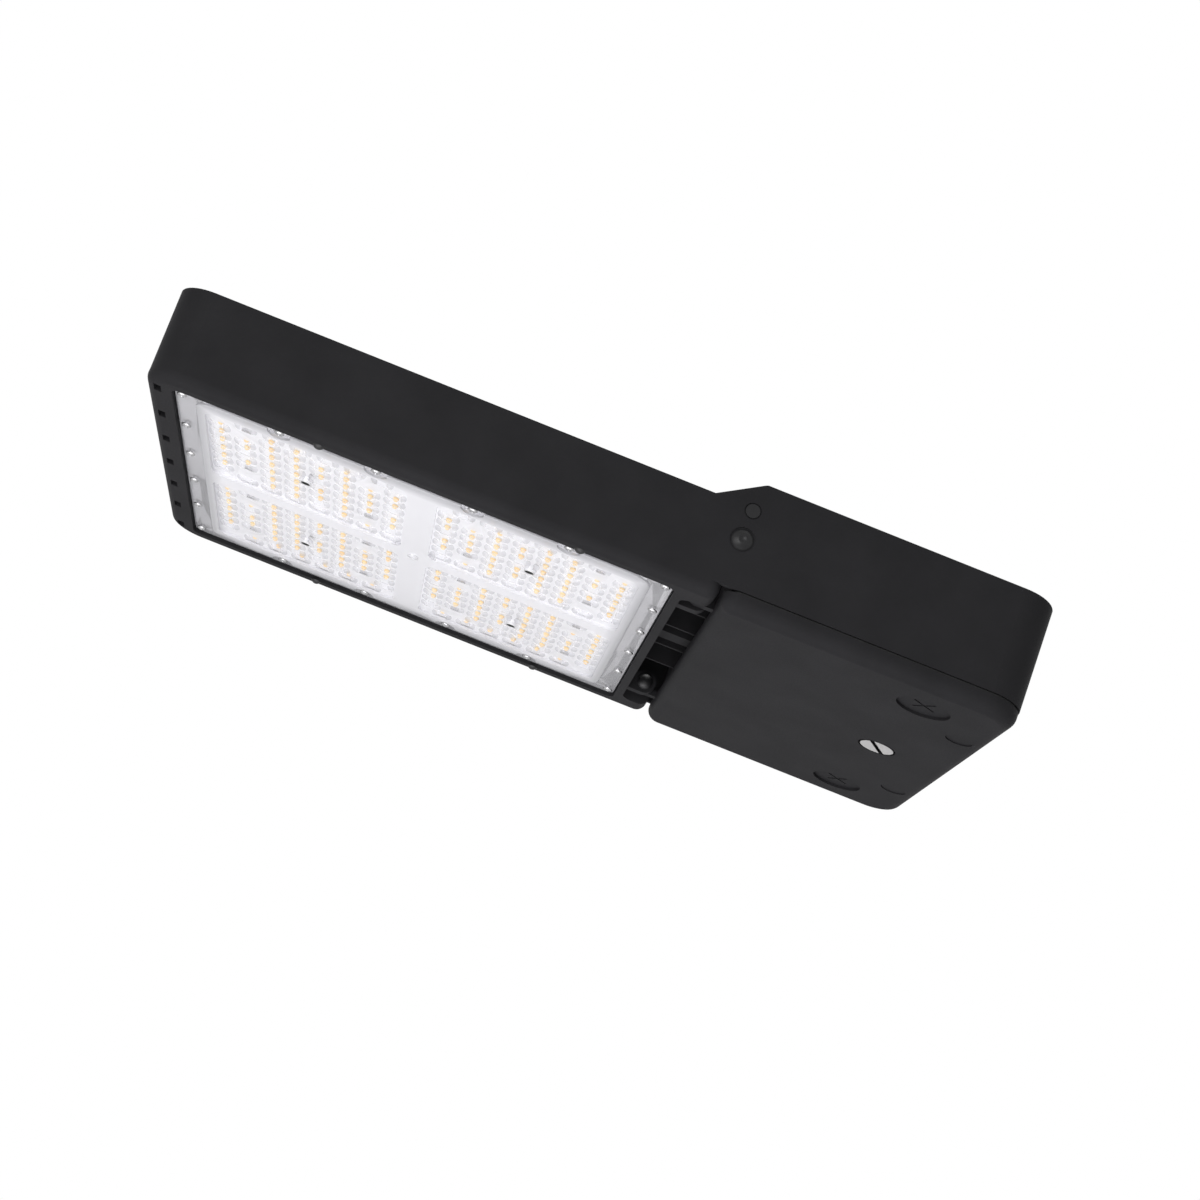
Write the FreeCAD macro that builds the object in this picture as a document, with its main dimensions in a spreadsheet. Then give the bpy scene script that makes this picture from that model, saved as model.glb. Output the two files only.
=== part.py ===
import FreeCAD, Part
import math
import os
import re
import Sketcher

# LED flood light with a hinged driver box, in millimetres.
# X runs from the mounting face to the light end, Z is up, the light shines down.

V = FreeCAD.Vector
doc = FreeCAD.newDocument("flood_light")
sheet = doc.addObject("Spreadsheet::Sheet", "Sizes")

SIZES = [
    # housing outline
    ("body_len", 597.0),
    ("body_wid", 336.0),
    ("corner_rad", 25.0),
    ("wall", 4.0),
    ("head_rise", 13.0),
    ("box_rise", 31.7),
    ("seam_drop", 42.0),
    ("rim_drop", 52.5),
    ("rim_fillet", 7.5),
    ("crown_fillet", 2.0),
    ("slope_run", 30.5),
    ("slope_lead", 1.0),
    ("front_lean", 2.5),
    # driver box and the air gap in front of it
    ("box_len", 202.0),
    ("gap_len", 27.0),
    ("cheek_lead", 7.0),
    ("cheek_wid", 26.0),
    ("cheek_rad", 8.0),
    ("rib_drop", 36.6),
    ("rib_rise", 8.0),
    ("rib_th", 2.6),
    ("rib_near", 25.0),
    ("rib_far", 71.0),
    ("wireway_wid", 17.5),
    ("wireway_high", 26.0),
    ("wireway_over", 34.0),
    ("wireway_bore", 9.0),
    ("wireway_in", 14.0),
    ("bar_wid", 6.0),
    # light window and its seats
    ("front_rim", 19.0),
    ("side_rim", 14.0),
    ("window_rad", 7.0),
    ("lens_recess", 2.8),
    ("ledge_x", 14.0),
    ("ledge_y", 15.5),
    ("board_pocket", 2.5),
    ("base_th", 5.0),
    # cooling fins
    ("fin_root", 3.2),
    ("fin_tip", 1.8),
    ("fin_side", 12.8),
    ("fin_low", 3.0),
    ("fin_gap", 12.0),
    # vent slots in the front rim
    ("vent_x", 5.0),
    ("vent_y", 11.0),
    ("vent_in", 9.3),
    ("vent_side", 22.8),
    # lens plate
    ("lens_play", 1.0),
    ("flange_th", 2.5),
    ("gasket_th", 1.2),
    ("pillow_in_x", 17.3),
    ("pillow_in_y", 8.5),
    ("pillow_round", 1.2),
    ("pillow_rad", 14.0),
    ("pillow_rise", 1.5),
    ("pillow_wall", 2.0),
    ("pillow_lip", 5.0),
    ("scallop_rad", 8.0),
    ("cell_gap", 2.0),
    ("cell_draft_x", 6.5),
    ("cell_draft_y", 6.4),
    ("cell_rise", 1.2),
    # grid of the LEDs and lens cells in one quarter
    ("col_first", 18.75),
    ("col_margin", 11.75),
    ("row_first", 16.3),
    ("row_margin", 11.9),
    ("edge_first", 28.4),
    ("end_first", 27.4),
    ("notch_len", 14.0),
    ("notch_wid", 7.0),
    # LED boards
    ("board_gap", 0.5),
    ("board_play_x", 4.0),
    ("board_play_y", 2.5),
    ("board_th", 1.6),
    ("chip", 3.0),
    ("chip_th", 0.7),
    # screws of the lens and the boards
    ("screw_in_x", 6.0),
    ("screw_in_y", 10.4),
    ("small_head_rad", 3.4),
    ("small_head_th", 1.4),
    ("small_shank_rad", 1.6),
    ("small_shank_len", 9.0),
    ("slot_th", 0.9),
    ("clamp_clear", 0.6),
    ("board_screw_len", 5.0),
    # domed rim screws
    ("dome_rad", 3.8),
    ("dome_rise", 2.2),
    ("dome_shank", 1.9),
    ("dome_len", 8.0),
    ("dome_in", 12.0),
    ("dome_ahead", 71.5),
    ("dome_behind", 106.0),
    # driver door
    ("door_drop", 55.9),
    ("door_inset", 0.6),
    ("door_over", 4.0),
    ("door_rad", 10.5),
    ("door_fillet", 9.0),
    ("door_floor", 3.0),
    ("door_wall", 5.5),
    ("seam_gap", 1.6),
    ("seal_in", 2.0),
    ("seal_wid", 1.8),
    ("knock_rad", 18.4),
    ("knock_deep", 2.0),
    ("knock_in", 43.2),
    ("knock_web", 2.6),
    ("score_len", 20.0),
    ("score_wid", 1.8),
    ("score_deep", 0.7),
    ("mark_rad", 9.5),
    ("mark_deep", 0.8),
    ("mark_in", 80.0),
    ("mark_x", 20.0),
    # hinge
    ("hinge_lead", 16.0),
    ("hinge_in", 54.0),
    ("lug_th", 8.0),
    ("ear_th", 7.0),
    ("ear_clear", 0.4),
    ("lug_rad", 8.5),
    ("ear_rad", 5.8),
    ("pin_rad", 2.5),
    ("pin_clear", 0.05),
    ("pin_head_rad", 6.0),
    ("pin_head_rise", 4.0),
    # latch
    ("latch_x", 56.0),
    ("latch_rad", 12.1),
    ("latch_head", 2.4),
    ("latch_clear", 1.6),
    ("latch_boss_rad", 17.0),
    ("latch_boss_rise", 6.6),
    ("latch_shank", 4.0),
    ("latch_thread", 3.0),
    ("latch_slot", 3.4),
    ("latch_slot_deep", 1.9),
    ("cam_len", 28.0),
    ("cam_wid", 8.0),
    ("cam_th", 3.0),
    ("cam_clear", 0.3),
    ("clip_rad", 7.0),
    ("clip_th", 0.8),
    ("nut_flat", 10.0),
    ("nut_th", 4.0),
    ("shelf_len", 70.0),
    ("shelf_wid", 48.0),
    ("shelf_th", 4.0),
    ("shelf_drop", 36.0),
    ("shelf_rib", 4.0),
    ("shelf_slot_play", 4.0),
    # rear mount
    ("bolt_gap", 36.0),
    ("bolt_rad", 4.5),
    ("entry_rad", 8.0),
    ("pad_x", 6.0),
    ("pad_wid", 40.0),
    # electrical parts in the driver box
    ("driver_x", 98.0),
    ("driver_wid", 68.0),
    ("driver_len", 230.0),
    ("driver_high", 40.0),
    ("foot_len", 14.0),
    ("foot_th", 3.0),
    ("foot_inset", 17.0),
    ("boss_rad", 5.0),
    ("boss_len", 5.0),
    ("device_screw_rad", 3.8),
    ("device_shank_rad", 1.9),
    ("device_screw_len", 4.5),
    ("surge_x", 24.0),
    ("surge_in", 102.0),
    ("surge_len", 46.0),
    ("surge_wid", 34.0),
    ("surge_high", 27.0),
    ("tab_len", 10.0),
    ("tab_th", 2.5),
    ("block_x", 30.0),
    ("block_in", 56.0),
    ("block_len", 24.0),
    ("block_wid", 46.0),
    ("block_high", 18.0),
    ("ground_x", 60.0),
    ("ground_y", -44.0),
    ("grommet_rad", 7.0),
    ("grommet_lip", 1.5),
    ("grommet_bore", 4.0),
    ("lead_rad", 1.2),
    ("lead_side", 1.9),
    ("lead_out", 8.0),
    ("lead_bend", 6.0),
    ("lead_turn", 4.0),
    ("joint_len", 16.0),
    ("joint_high", 3.0),
    # plugs in the side wall
    ("plug_lead", 5.2),
    ("plug_big_drop", 9.5),
    ("plug_big_rad", 7.4),
    ("plug_big_rise", 2.6),
    ("plug_big_shank", 5.5),
    ("plug_dimple", 3.0),
    ("plug_dimple_deep", 1.0),
    ("plug_small_rise", 10.9),
    ("plug_small_rad", 4.7),
    ("plug_seat", 1.0),
    ("plug_ring", 0.9),
    ("plug_small_shank", 4.0),
    ("plug_tail", 2.0),
]

for row, (name, value) in enumerate(SIZES, start=1):
    sheet.set("A%d" % row, name)
    sheet.set("B%d" % row, str(value))
    sheet.setAlias("B%d" % row, name)

probe = doc.addObject("App::FeaturePython", "Probe")
probe.addProperty("App::PropertyFloat", "reading")
doc.recompute()

# Sizes that follow from the ones above.
DERIVED = {
    "slope_start": "box_len + slope_lead",
    "cheek_start": "box_len + cheek_lead",
    "hinge_x": "box_len + hinge_lead",
    "hinge_y": "body_wid / 2 - hinge_in",
    "plug_x": "box_len + plug_lead",
    "window_start": "box_len + gap_len + bar_wid",
    "window_len": "body_len - front_rim - window_start",
    "window_wid": "body_wid - 2 * side_rim",
    "fin_pitch": "(body_wid / 2 - wall - fin_side) / 12",
    "vent_pitch": "(body_wid / 2 - vent_side) / 3",
    "pillow_x": "window_len - 2 * pillow_in_x",
    "pillow_y": "window_wid - 2 * pillow_in_y",
    "board_x": "window_len / 2 - ledge_x - board_play_x - board_gap",
    "board_y": "window_wid / 2 - ledge_y - board_play_y - board_gap",
    "col_last": "board_gap + board_x - col_margin",
    "col_pitch": "(col_last - col_first) / 7",
    "row_pitch": "(board_gap + board_y - row_margin - row_first) / 7",
    "cell_x": "col_pitch - cell_gap",
    "cell_y": "row_pitch - cell_gap / 2",
    "edge_pitch": "(col_last - edge_first) / 6",
    "end_pitch": "(row_first + 6 * row_pitch - end_first) / 5",
    "lens_screw_x": "window_len / 2 - screw_in_x",
    "lens_screw_y": "window_wid / 2 - screw_in_y",
    "clamp_x": "col_first + 3.5 * col_pitch",
    "clamp_y": "row_first + 3.5 * row_pitch",
    "dome_front": "window_start + window_len / 2 + dome_ahead",
    "dome_rear": "window_start + window_len / 2 - dome_behind",
    "door_len": "box_len + door_over - door_inset",
    "surge_y": "body_wid / 2 - surge_in",
    "block_y": "block_in - body_wid / 2",
    "knock_y": "body_wid / 2 - knock_in",
    "mark_y": "body_wid / 2 - mark_in",
}

WORD = re.compile(r"[a-z][a-z_]*")


def bound(text):
    # Each word of an expression becomes a cell of the sheet, or the formula that gives it.
    def reading(word):
        name = word.group(0)
        if name in DERIVED:
            return "(" + bound(DERIVED[name]) + ")"
        return "Sizes." + name
    return WORD.sub(reading, text)


def bind(obj, prop, text):
    obj.setExpression(prop, bound(text))


def size_of(text):
    bind(probe, "reading", text)
    probe.recompute()
    return probe.reading


def put(obj, x, y, z):
    for axis, text in (("x", x), ("y", y), ("z", z)):
        bind(obj, "Placement.Base." + axis, text)


TURNS = {
    "x": FreeCAD.Rotation(V(0, 1, 0), 90),
    "y": FreeCAD.Rotation(V(1, 0, 0), -90),
    "z": FreeCAD.Rotation(),
    "-y": FreeCAD.Rotation(V(1, 0, 0), 90),
    "-z": FreeCAD.Rotation(V(1, 0, 0), 180),
}


def block(name, x, y, z):
    obj = doc.addObject("Part::Box", name)
    bind(obj, "Length", "(%s) - (%s)" % (x[1], x[0]))
    bind(obj, "Width", "(%s) - (%s)" % (y[1], y[0]))
    bind(obj, "Height", "(%s) - (%s)" % (z[1], z[0]))
    put(obj, x[0], y[0], z[0])
    return obj


def rod(name, radius, length, axis, x, y, z):
    obj = doc.addObject("Part::Cylinder", name)
    bind(obj, "Radius", radius)
    bind(obj, "Height", length)
    obj.Placement = FreeCAD.Placement(V(0, 0, 0), TURNS[axis])
    put(obj, x, y, z)
    return obj


def taper(name, base, top, rise, axis, x, y, z):
    # A wedge has its base in local XZ and rises along local Y.
    obj = doc.addObject("Part::Wedge", name)
    pairs = (("Xmin", "Xmax", base[0]), ("Zmin", "Zmax", base[1]))
    pairs += (("X2min", "X2max", top[0]), ("Z2min", "Z2max", top[1]))
    obj.Ymin = 0
    bind(obj, "Ymax", rise)
    for low, high, size in pairs:
        bind(obj, high, "(%s) / 2" % size)
        bind(obj, low, "-(%s) / 2" % size)
    turn = -90 if axis == "-z" else 90
    obj.Placement = FreeCAD.Placement(V(0, 0, 0), FreeCAD.Rotation(V(1, 0, 0), turn))
    put(obj, x, y, z)
    return obj


def turned_bar(name, size, turn, x, y, z):
    # A bar with its middle over x and y, turned about Z by a number of degrees. It stands on z.
    length, width, height = size
    along = (math.cos(math.radians(turn)), math.sin(math.radians(turn)))
    obj = doc.addObject("Part::Box", name)
    bind(obj, "Length", length)
    bind(obj, "Width", width)
    bind(obj, "Height", height)
    obj.Placement = FreeCAD.Placement(V(0, 0, 0), FreeCAD.Rotation(V(0, 0, 1), turn))
    put(obj, "%s - (%s) * (%.6f) / 2 + (%s) * (%.6f) / 2" % (x, length, along[0], width, along[1]),
        "%s - (%s) * (%.6f) / 2 - (%s) * (%.6f) / 2" % (y, length, along[1], width, along[0]), z)
    return obj


def fuse(name, parts):
    obj = doc.addObject("Part::MultiFuse", name)
    obj.Shapes = parts
    return obj


def cut(name, base, tools):
    obj = doc.addObject("Part::Cut", name)
    obj.Base = base
    obj.Tool = tools[0] if len(tools) == 1 else fuse(name + "_tools", tools)
    return obj


def group(name, parts):
    obj = doc.addObject("Part::Compound", name)
    obj.Links = parts
    return obj


def mirror(name, source, normal):
    obj = doc.addObject("Part::Mirroring", name)
    obj.Source = source
    obj.Normal = normal
    bind(obj, "Base.x", LENS_X)
    return obj


def outline(sketch, length, width, rear, front):
    a = size_of(length) / 2
    b = size_of(width) / 2
    r = size_of(rear)
    f = size_of(front)
    up = V(0, 0, 1)
    quarter = 1.5707963267948966

    def arc(x, y, radius, turn):
        circle = Part.Circle(V(x, y, 0), up, radius)
        return Part.ArcOfCircle(circle, turn * quarter, (turn + 1) * quarter)

    sketch.addGeometry([
        Part.LineSegment(V(r - a, -b, 0), V(a - f, -b, 0)),
        arc(a - f, f - b, f, 3),
        Part.LineSegment(V(a, f - b, 0), V(a, b - f, 0)),
        arc(a - f, b - f, f, 0),
        Part.LineSegment(V(a - f, b, 0), V(r - a, b, 0)),
        arc(r - a, b - r, r, 1),
        Part.LineSegment(V(-a, b - r, 0), V(-a, r - b, 0)),
        arc(r - a, r - b, r, 2),
    ], False)
    for n in range(8):
        sketch.addConstraint(Sketcher.Constraint("Tangent", n, 2, (n + 1) % 8, 1))
    sketch.addConstraint(Sketcher.Constraint("Horizontal", 0))
    sketch.addConstraint(Sketcher.Constraint("Horizontal", 4))
    sketch.addConstraint(Sketcher.Constraint("Vertical", 2))
    sketch.addConstraint(Sketcher.Constraint("Vertical", 6))
    sketch.addConstraint(Sketcher.Constraint("Equal", 1, 3))
    sketch.addConstraint(Sketcher.Constraint("Equal", 5, 7))
    named = [
        ("front_edge", "DistanceX", (-1, 1, 2, 1), a, "(%s) / 2" % length),
        ("rear_edge", "DistanceX", (-1, 1, 6, 1), -a, "-(%s) / 2" % length),
        ("near_edge", "DistanceY", (-1, 1, 4, 1), b, "(%s) / 2" % width),
        ("far_edge", "DistanceY", (-1, 1, 0, 1), -b, "-(%s) / 2" % width),
        ("front_corner", "Radius", (1,), f, front),
        ("rear_corner", "Radius", (5,), r, rear),
    ]
    for label, kind, items, value, text in named:
        index = sketch.addConstraint(Sketcher.Constraint(kind, *items, value))
        sketch.renameConstraint(index, label)
        sketch.setExpression("Constraints." + label, bound(text))


def prism(name, size, radii, x, y, z, height, fillet=None, side=0, lean=None):
    # A rounded plate with an optional fillet on its low edge (0) or top edge (1).
    # With a lean, its front end runs out by that much towards the top.
    body = doc.addObject("PartDesign::Body", name)
    planes = [p for p in body.Origin.OriginFeatures if p.Role == "XY_Plane"]
    sketch = body.newObject("Sketcher::SketchObject", name + "_sketch")
    sketch.AttachmentSupport = (planes[0], "")
    sketch.MapMode = "FlatFace"
    outline(sketch, size[0], size[1], radii[0], radii[1])
    if lean:
        crown = body.newObject("Sketcher::SketchObject", name + "_crown")
        crown.AttachmentSupport = (planes[0], "")
        crown.MapMode = "FlatFace"
        outline(crown, "%s + %s" % (size[0], lean), size[1], radii[0], radii[1])
        bind(crown, "AttachmentOffset.Base.x", "(%s) / 2" % lean)
        bind(crown, "AttachmentOffset.Base.z", height)
        pad = body.newObject("PartDesign::AdditiveLoft", name + "_loft")
        pad.Profile = sketch
        pad.Sections = [crown]
        pad.Ruled = True
    else:
        pad = body.newObject("PartDesign::Pad", name + "_pad")
        pad.Profile = sketch
        bind(pad, "Length", height)
    doc.recompute()
    if fillet:
        level = pad.Shape.BoundBox.ZMax if side else pad.Shape.BoundBox.ZMin
        rim = []
        for n, edge in enumerate(pad.Shape.Edges, start=1):
            box = edge.BoundBox
            if abs(box.ZMin - level) < 1e-4 and abs(box.ZMax - level) < 1e-4:
                rim.append("Edge%d" % n)
        smooth = body.newObject("PartDesign::Fillet", name + "_fillet")
        smooth.Base = (pad, rim)
        bind(smooth, "Radius", fillet)
        body.Tip = smooth
    put(body, x, y, z)
    return body


def profile(name, points, y0, length):
    # A flat outline in XZ, given as expressions, drawn out along Y.
    body = doc.addObject("PartDesign::Body", name)
    planes = [p for p in body.Origin.OriginFeatures if p.Role == "XZ_Plane"]
    sketch = body.newObject("Sketcher::SketchObject", name + "_sketch")
    sketch.AttachmentSupport = (planes[0], "")
    sketch.MapMode = "FlatFace"
    spots = [V(size_of(x), size_of(z), 0) for x, z in points]
    count = len(spots)
    for n in range(count):
        sketch.addGeometry(Part.LineSegment(spots[n], spots[(n + 1) % count]), False)
    for n in range(count):
        sketch.addConstraint(Sketcher.Constraint("Coincident", n, 2, (n + 1) % count, 1))
    for n, (x, z) in enumerate(points):
        for kind, value, text in (("DistanceX", spots[n].x, x), ("DistanceY", spots[n].y, z)):
            index = sketch.addConstraint(Sketcher.Constraint(kind, -1, 1, n, 1, value))
            label = "%s_of_point_%d" % ("run" if kind == "DistanceX" else "rise", n)
            sketch.renameConstraint(index, label)
            sketch.setExpression("Constraints." + label, bound(text))
    pad = body.newObject("PartDesign::Pad", name + "_pad")
    pad.Profile = sketch
    pad.Reversed = True
    bind(pad, "Length", length)
    put(body, "0 * wall", y0, "0 * wall")
    return body


def ball_cap(name, radius, rise, axis, x, y, z):
    # A shallow dome cut from a sphere: its flat side lies at the given place.
    obj = doc.addObject("Part::Sphere", name)
    ball = "((%s) * (%s) + (%s) * (%s)) / (2 * (%s))" % (radius, radius, rise, rise, rise)
    bind(obj, "Radius", ball)
    obj.Placement = FreeCAD.Placement(V(0, 0, 0), TURNS[axis])
    sunk = "(%s - (%s))" % (ball, rise)
    step = {"y": (x, "%s - %s" % (y, sunk), z), "-y": (x, "%s + %s" % (y, sunk), z)}
    step["-z"] = (x, y, "%s + %s" % (z, sunk))
    put(obj, *step[axis])
    keep = rod(name + "_keep", "(%s) * 1.2" % radius, rise, axis, x, y, z)
    dome = doc.addObject("Part::Common", name + "_dome")
    dome.Base = obj
    dome.Tool = keep
    return dome


# Places that several pieces share.
LENS_X = "window_start + window_len / 2"
HALF = "body_wid / 2"
INNER = "body_wid / 2 - wall"
LEDGE = "-rim_drop + lens_recess + flange_th + gasket_th"
FLANGE = "-rim_drop + lens_recess"
BOARD_SEAT = LEDGE + " + board_pocket"
BASE_TOP = BOARD_SEAT + " + base_th"
ROOF = "box_rise - wall"
HEAD_START = "box_len + gap_len"
DOOR_TOP = "-seam_drop - seam_gap"
DOOR_INSIDE = "-door_drop + door_floor"
SHELF_TOP = "-shelf_drop"
WIRE_Z = "-rib_drop + wireway_in"

# Housing: outer shell of the casting
box_run = "slope_start + slope_run + gap_len"
box_shell = prism("box_shell", (box_run, "body_wid"), ("corner_rad", "wall"), "(%s) / 2" % box_run, "0 * wall",
                  "-seam_drop", "seam_drop + box_rise", "crown_fillet", 1)
head_run = "body_len - box_len"
head_shell = prism("head_shell", (head_run, "body_wid"), ("wall", "corner_rad"),
                   "box_len + (%s) / 2" % head_run, "0 * wall", "-seam_drop", "seam_drop + head_rise",
                   None, 0, "front_lean")
full = fuse("outer_shell", [box_shell, head_shell])
over = "body_len + front_lean + wall"
head_cut = profile("head_step", [
    ("slope_start", "box_rise"), ("slope_start + slope_run", "head_rise"), (over, "head_rise"),
    (over, "box_rise + wall"), ("slope_start", "box_rise + wall")], "-body_wid", "2 * body_wid")
box_room = prism("driver_room", ("box_len - 2 * wall", "body_wid - 2 * wall"),
                 ("corner_rad - wall", "wall"), "box_len / 2", "0 * wall",
                 "-seam_drop - wall", "seam_drop + box_rise", "wall", 1)
gap_room = block("gap_room", ("box_len", HEAD_START), ("-(%s)" % INNER, INNER),
                 ("-rim_drop - wall", "box_rise + wall"))
fin_len = "body_len - wall - (%s)" % HEAD_START
fin_room = prism("fin_room", (fin_len + " + wall", "body_wid - 2 * wall"), ("wall", "corner_rad - wall"),
                 "body_len - wall - (%s + wall) / 2" % fin_len, "0 * wall", BASE_TOP, "rim_drop + head_rise",
                 None, 0, "front_lean * (rim_drop + head_rise) / (seam_drop + head_rise)")
shell = cut("walls", full, [head_cut, box_room, gap_room, fin_room])

# Housing: skirt that frames the light window
skirt_len = "body_len - cheek_start"
skirt_block = prism("skirt_block", (skirt_len, "body_wid"), ("cheek_rad", "corner_rad"),
                    "cheek_start + (%s) / 2" % skirt_len, "0 * wall", "-rim_drop",
                    BASE_TOP + " + rim_drop", "rim_fillet", 0)
notch = prism("gap_notch", ("2 * gap_len", "body_wid - 2 * cheek_wid"), ("wall", "2 * wall"),
              "%s - gap_len" % HEAD_START, "0 * wall", "-rim_drop - wall", "rim_drop + wall")
window = prism("window_cut", ("window_len", "window_wid"), ("window_rad", "window_rad"), LENS_X, "0 * wall",
               "-rim_drop - wall", "%s + rim_drop + wall" % LEDGE)
pocket = prism("board_room", ("window_len - 2 * ledge_x", "window_wid - 2 * ledge_y"),
               ("window_rad", "window_rad"), LENS_X, "0 * wall", "-rim_drop", BOARD_SEAT + " + rim_drop")
skirt = cut("skirt", skirt_block, [notch, window, pocket])

# Housing: cooling fins with casting draft, and ribs across the air gap
fins = []
fin_top = "head_rise - fin_low"
fin_run = "body_len - wall - fin_gap - (%s)" % HEAD_START
for n in range(-12, 13):
    fins.append(taper("fin_%d" % (n + 13), (fin_run, "fin_root"), (fin_run, "fin_tip"),
                      "%s - (%s)" % (fin_top, BASE_TOP), "z",
                      "%s + (%s) / 2" % (HEAD_START, fin_run), "%d * fin_pitch" % n, BASE_TOP))
ribs = []
for side, word in ((1, "near"), (-1, "far")):
    for spot in ("rib_near", "rib_far"):
        place = "%d * %s" % (side, spot)
        ribs.append(block("%s_%s" % (spot, word), ("box_len - wall / 2", "%s + wall" % HEAD_START),
                          ("%s - rib_th / 2" % place, "%s + rib_th / 2" % place), ("-rib_drop", "rib_rise")))
wireway = block("wireway", ("box_len - wall / 2", "%s + wireway_over" % HEAD_START),
                ("-wireway_wid / 2", "wireway_wid / 2"), ("-rib_drop", "wireway_high - rib_drop"))

# Housing: hinge lugs
lugs = []
for side, word in ((1, "near"), (-1, "far")):
    low = "hinge_y" if side > 0 else "-hinge_y - lug_th"
    arm = block("lug_arm_" + word, ("hinge_x", "window_start"), (low, "%s + lug_th" % low),
                ("-seam_drop - lug_rad", "-seam_drop + ear_rad"))
    eye = rod("lug_eye_" + word, "lug_rad", "lug_th", "y", "hinge_x", low, "-seam_drop")
    lugs += [arm, eye]

# Housing: mounting pad, latch shelf and device bosses inside the driver box
pad = block("mount_pad", ("wall / 2", "wall + pad_x"), ("-pad_wid / 2", "pad_wid / 2"),
            (SHELF_TOP + " - shelf_th", "%s + wall / 2" % ROOF))
shelf = block("latch_shelf", ("wall / 2", "wall + shelf_len"), ("-shelf_wid / 2", "shelf_wid / 2"),
              (SHELF_TOP + " - shelf_th", SHELF_TOP))
webs = []
for side, word in ((1, "near"), (-1, "far")):
    face = "shelf_wid / 2 - shelf_rib" if side > 0 else "-shelf_wid / 2"
    webs.append(profile("shelf_web_" + word, [
        ("wall / 2", SHELF_TOP + " - shelf_th"), ("wall + shelf_len", SHELF_TOP + " - shelf_th"),
        ("wall + shelf_len", SHELF_TOP + " + shelf_rib"), ("wall + pad_x", ROOF), ("wall / 2", ROOF)],
        face, "shelf_rib"))

DRIVER_MID = "driver_x + driver_wid / 2"
driver_feet = []
for side in (1, -1):
    for end in (1, -1):
        driver_feet.append(("%s + %d * foot_inset" % (DRIVER_MID, end),
                            "%d * (driver_len / 2 + foot_len / 2)" % side))
SURGE_X = "surge_x + surge_len / 2"
surge_feet = [(SURGE_X, "surge_y - tab_len / 2"), (SURGE_X, "surge_y + surge_wid + tab_len / 2")]
BLOCK_X = "block_x + block_len / 2"
block_feet = [(BLOCK_X, "block_y - tab_len / 2"), (BLOCK_X, "block_y + block_wid + tab_len / 2")]
ground_spot = ("ground_x", "ground_y")
bosses = []
for n, (x, y) in enumerate(driver_feet + surge_feet + block_feet + [ground_spot]):
    bosses.append(rod("device_boss_%d" % n, "boss_rad", "boss_len + wall / 2", "z",
                      x, y, ROOF + " - boss_len"))

raw = fuse("casting", [shell, skirt, wireway, pad, shelf] + fins + ribs + lugs + webs + bosses)

# Housing: bores and slots
bores = []
VENT_X = "body_len - vent_in"
for n in range(-3, 4):
    mid = "%d * vent_pitch" % n
    bores.append(block("vent_%d" % (n + 4), (VENT_X + " - vent_x / 2", VENT_X + " + vent_x / 2"),
                       ("%s - vent_y / 2" % mid, "%s + vent_y / 2" % mid),
                       ("-rim_drop - wall", BASE_TOP + " + wall / 2")))
for side, word in ((1, "up"), (-1, "low")):
    bores.append(rod("bolt_bore_" + word, "bolt_rad", "2 * wall + pad_x", "x",
                     "-wall", "0 * wall", "%d * bolt_gap / 2" % side))
bores.append(rod("entry_bore", "entry_rad", "2 * wall + pad_x", "x", "-wall", "0 * wall", "0 * wall"))
for side, word in ((1, "near"), (-1, "far")):
    low = "hinge_y - wall" if side > 0 else "-hinge_y - lug_th - wall"
    bores.append(rod("lug_bore_" + word, "pin_rad", "lug_th + 2 * wall", "y", "hinge_x", low, "-seam_drop"))
slot_half = "(cam_len + shelf_slot_play) / 2"
slot_side = "(cam_wid + shelf_slot_play) / 2"
bores.append(block("shelf_slot", ("latch_x - " + slot_side, "latch_x + " + slot_side),
                   ("-" + slot_half, slot_half),
                   (SHELF_TOP + " - 2 * shelf_th", SHELF_TOP + " + shelf_th / 2")))
bores.append(rod("wire_bore", "wireway_bore / 2", "gap_len + 1.5 * wall + wireway_over - wireway_bore", "x",
                 "box_len - 1.5 * wall", "0 * wall", WIRE_Z))
bores.append(rod("wire_drop", "wireway_bore / 2", "%s - (%s) + wall" % (WIRE_Z, LEDGE), "z",
                 "%s + wireway_over - wireway_bore" % HEAD_START, "0 * wall", "%s - wall" % LEDGE))
bores.append(rod("grommet_seat", "grommet_rad - grommet_lip", "wall", "x",
                 "box_len - wall", "0 * wall", WIRE_Z))
for word, level in (("big", "-plug_big_drop"), ("small", "plug_small_rise")):
    bores.append(rod("plug_%s_bore" % word, "plug_%s_shank" % word, "3 * wall", "-y",
                     "plug_x", HALF + " + wall", level))
    bores.append(rod("plug_%s_seat" % word, "plug_%s_rad + plug_ring" % word, "plug_seat + wall", "-y",
                     "plug_x", HALF + " + wall", level))

end_screw_spots = []
long_screw_spots = []
for n in range(6):
    step = "(%d / 5)" % (2 * n - 5)
    for side in (1, -1):
        end_screw_spots.append(("%s + %d * lens_screw_x" % (LENS_X, side), "%s * lens_screw_y" % step))
        if 0 < n < 5:
            long_screw_spots.append(("%s + %s * lens_screw_x" % (LENS_X, step), "%d * lens_screw_y" % side))
lens_screw_spots = end_screw_spots + long_screw_spots
clamp_spots = [(LENS_X, "0 * wall")]
for sx in (1, -1):
    for sy in (1, -1):
        clamp_spots.append(("%s + %d * clamp_x" % (LENS_X, sx), "%d * clamp_y" % sy))
blank_cells = [(1, 1), (6, 1), (1, 6), (6, 6)]
board_screw_spots = []
for i, j in blank_cells:
    for sx in (1, -1):
        for sy in (1, -1):
            board_screw_spots.append(("%s + %d * (col_first + %d * col_pitch)" % (LENS_X, sx, i),
                                      "%d * (row_first + %d * row_pitch)" % (sy, j)))
dome_spots = []
for x in ("dome_front", "dome_rear"):
    for side in (1, -1):
        dome_spots.append((x, "%d * (%s - dome_in)" % (side, HALF)))

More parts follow.
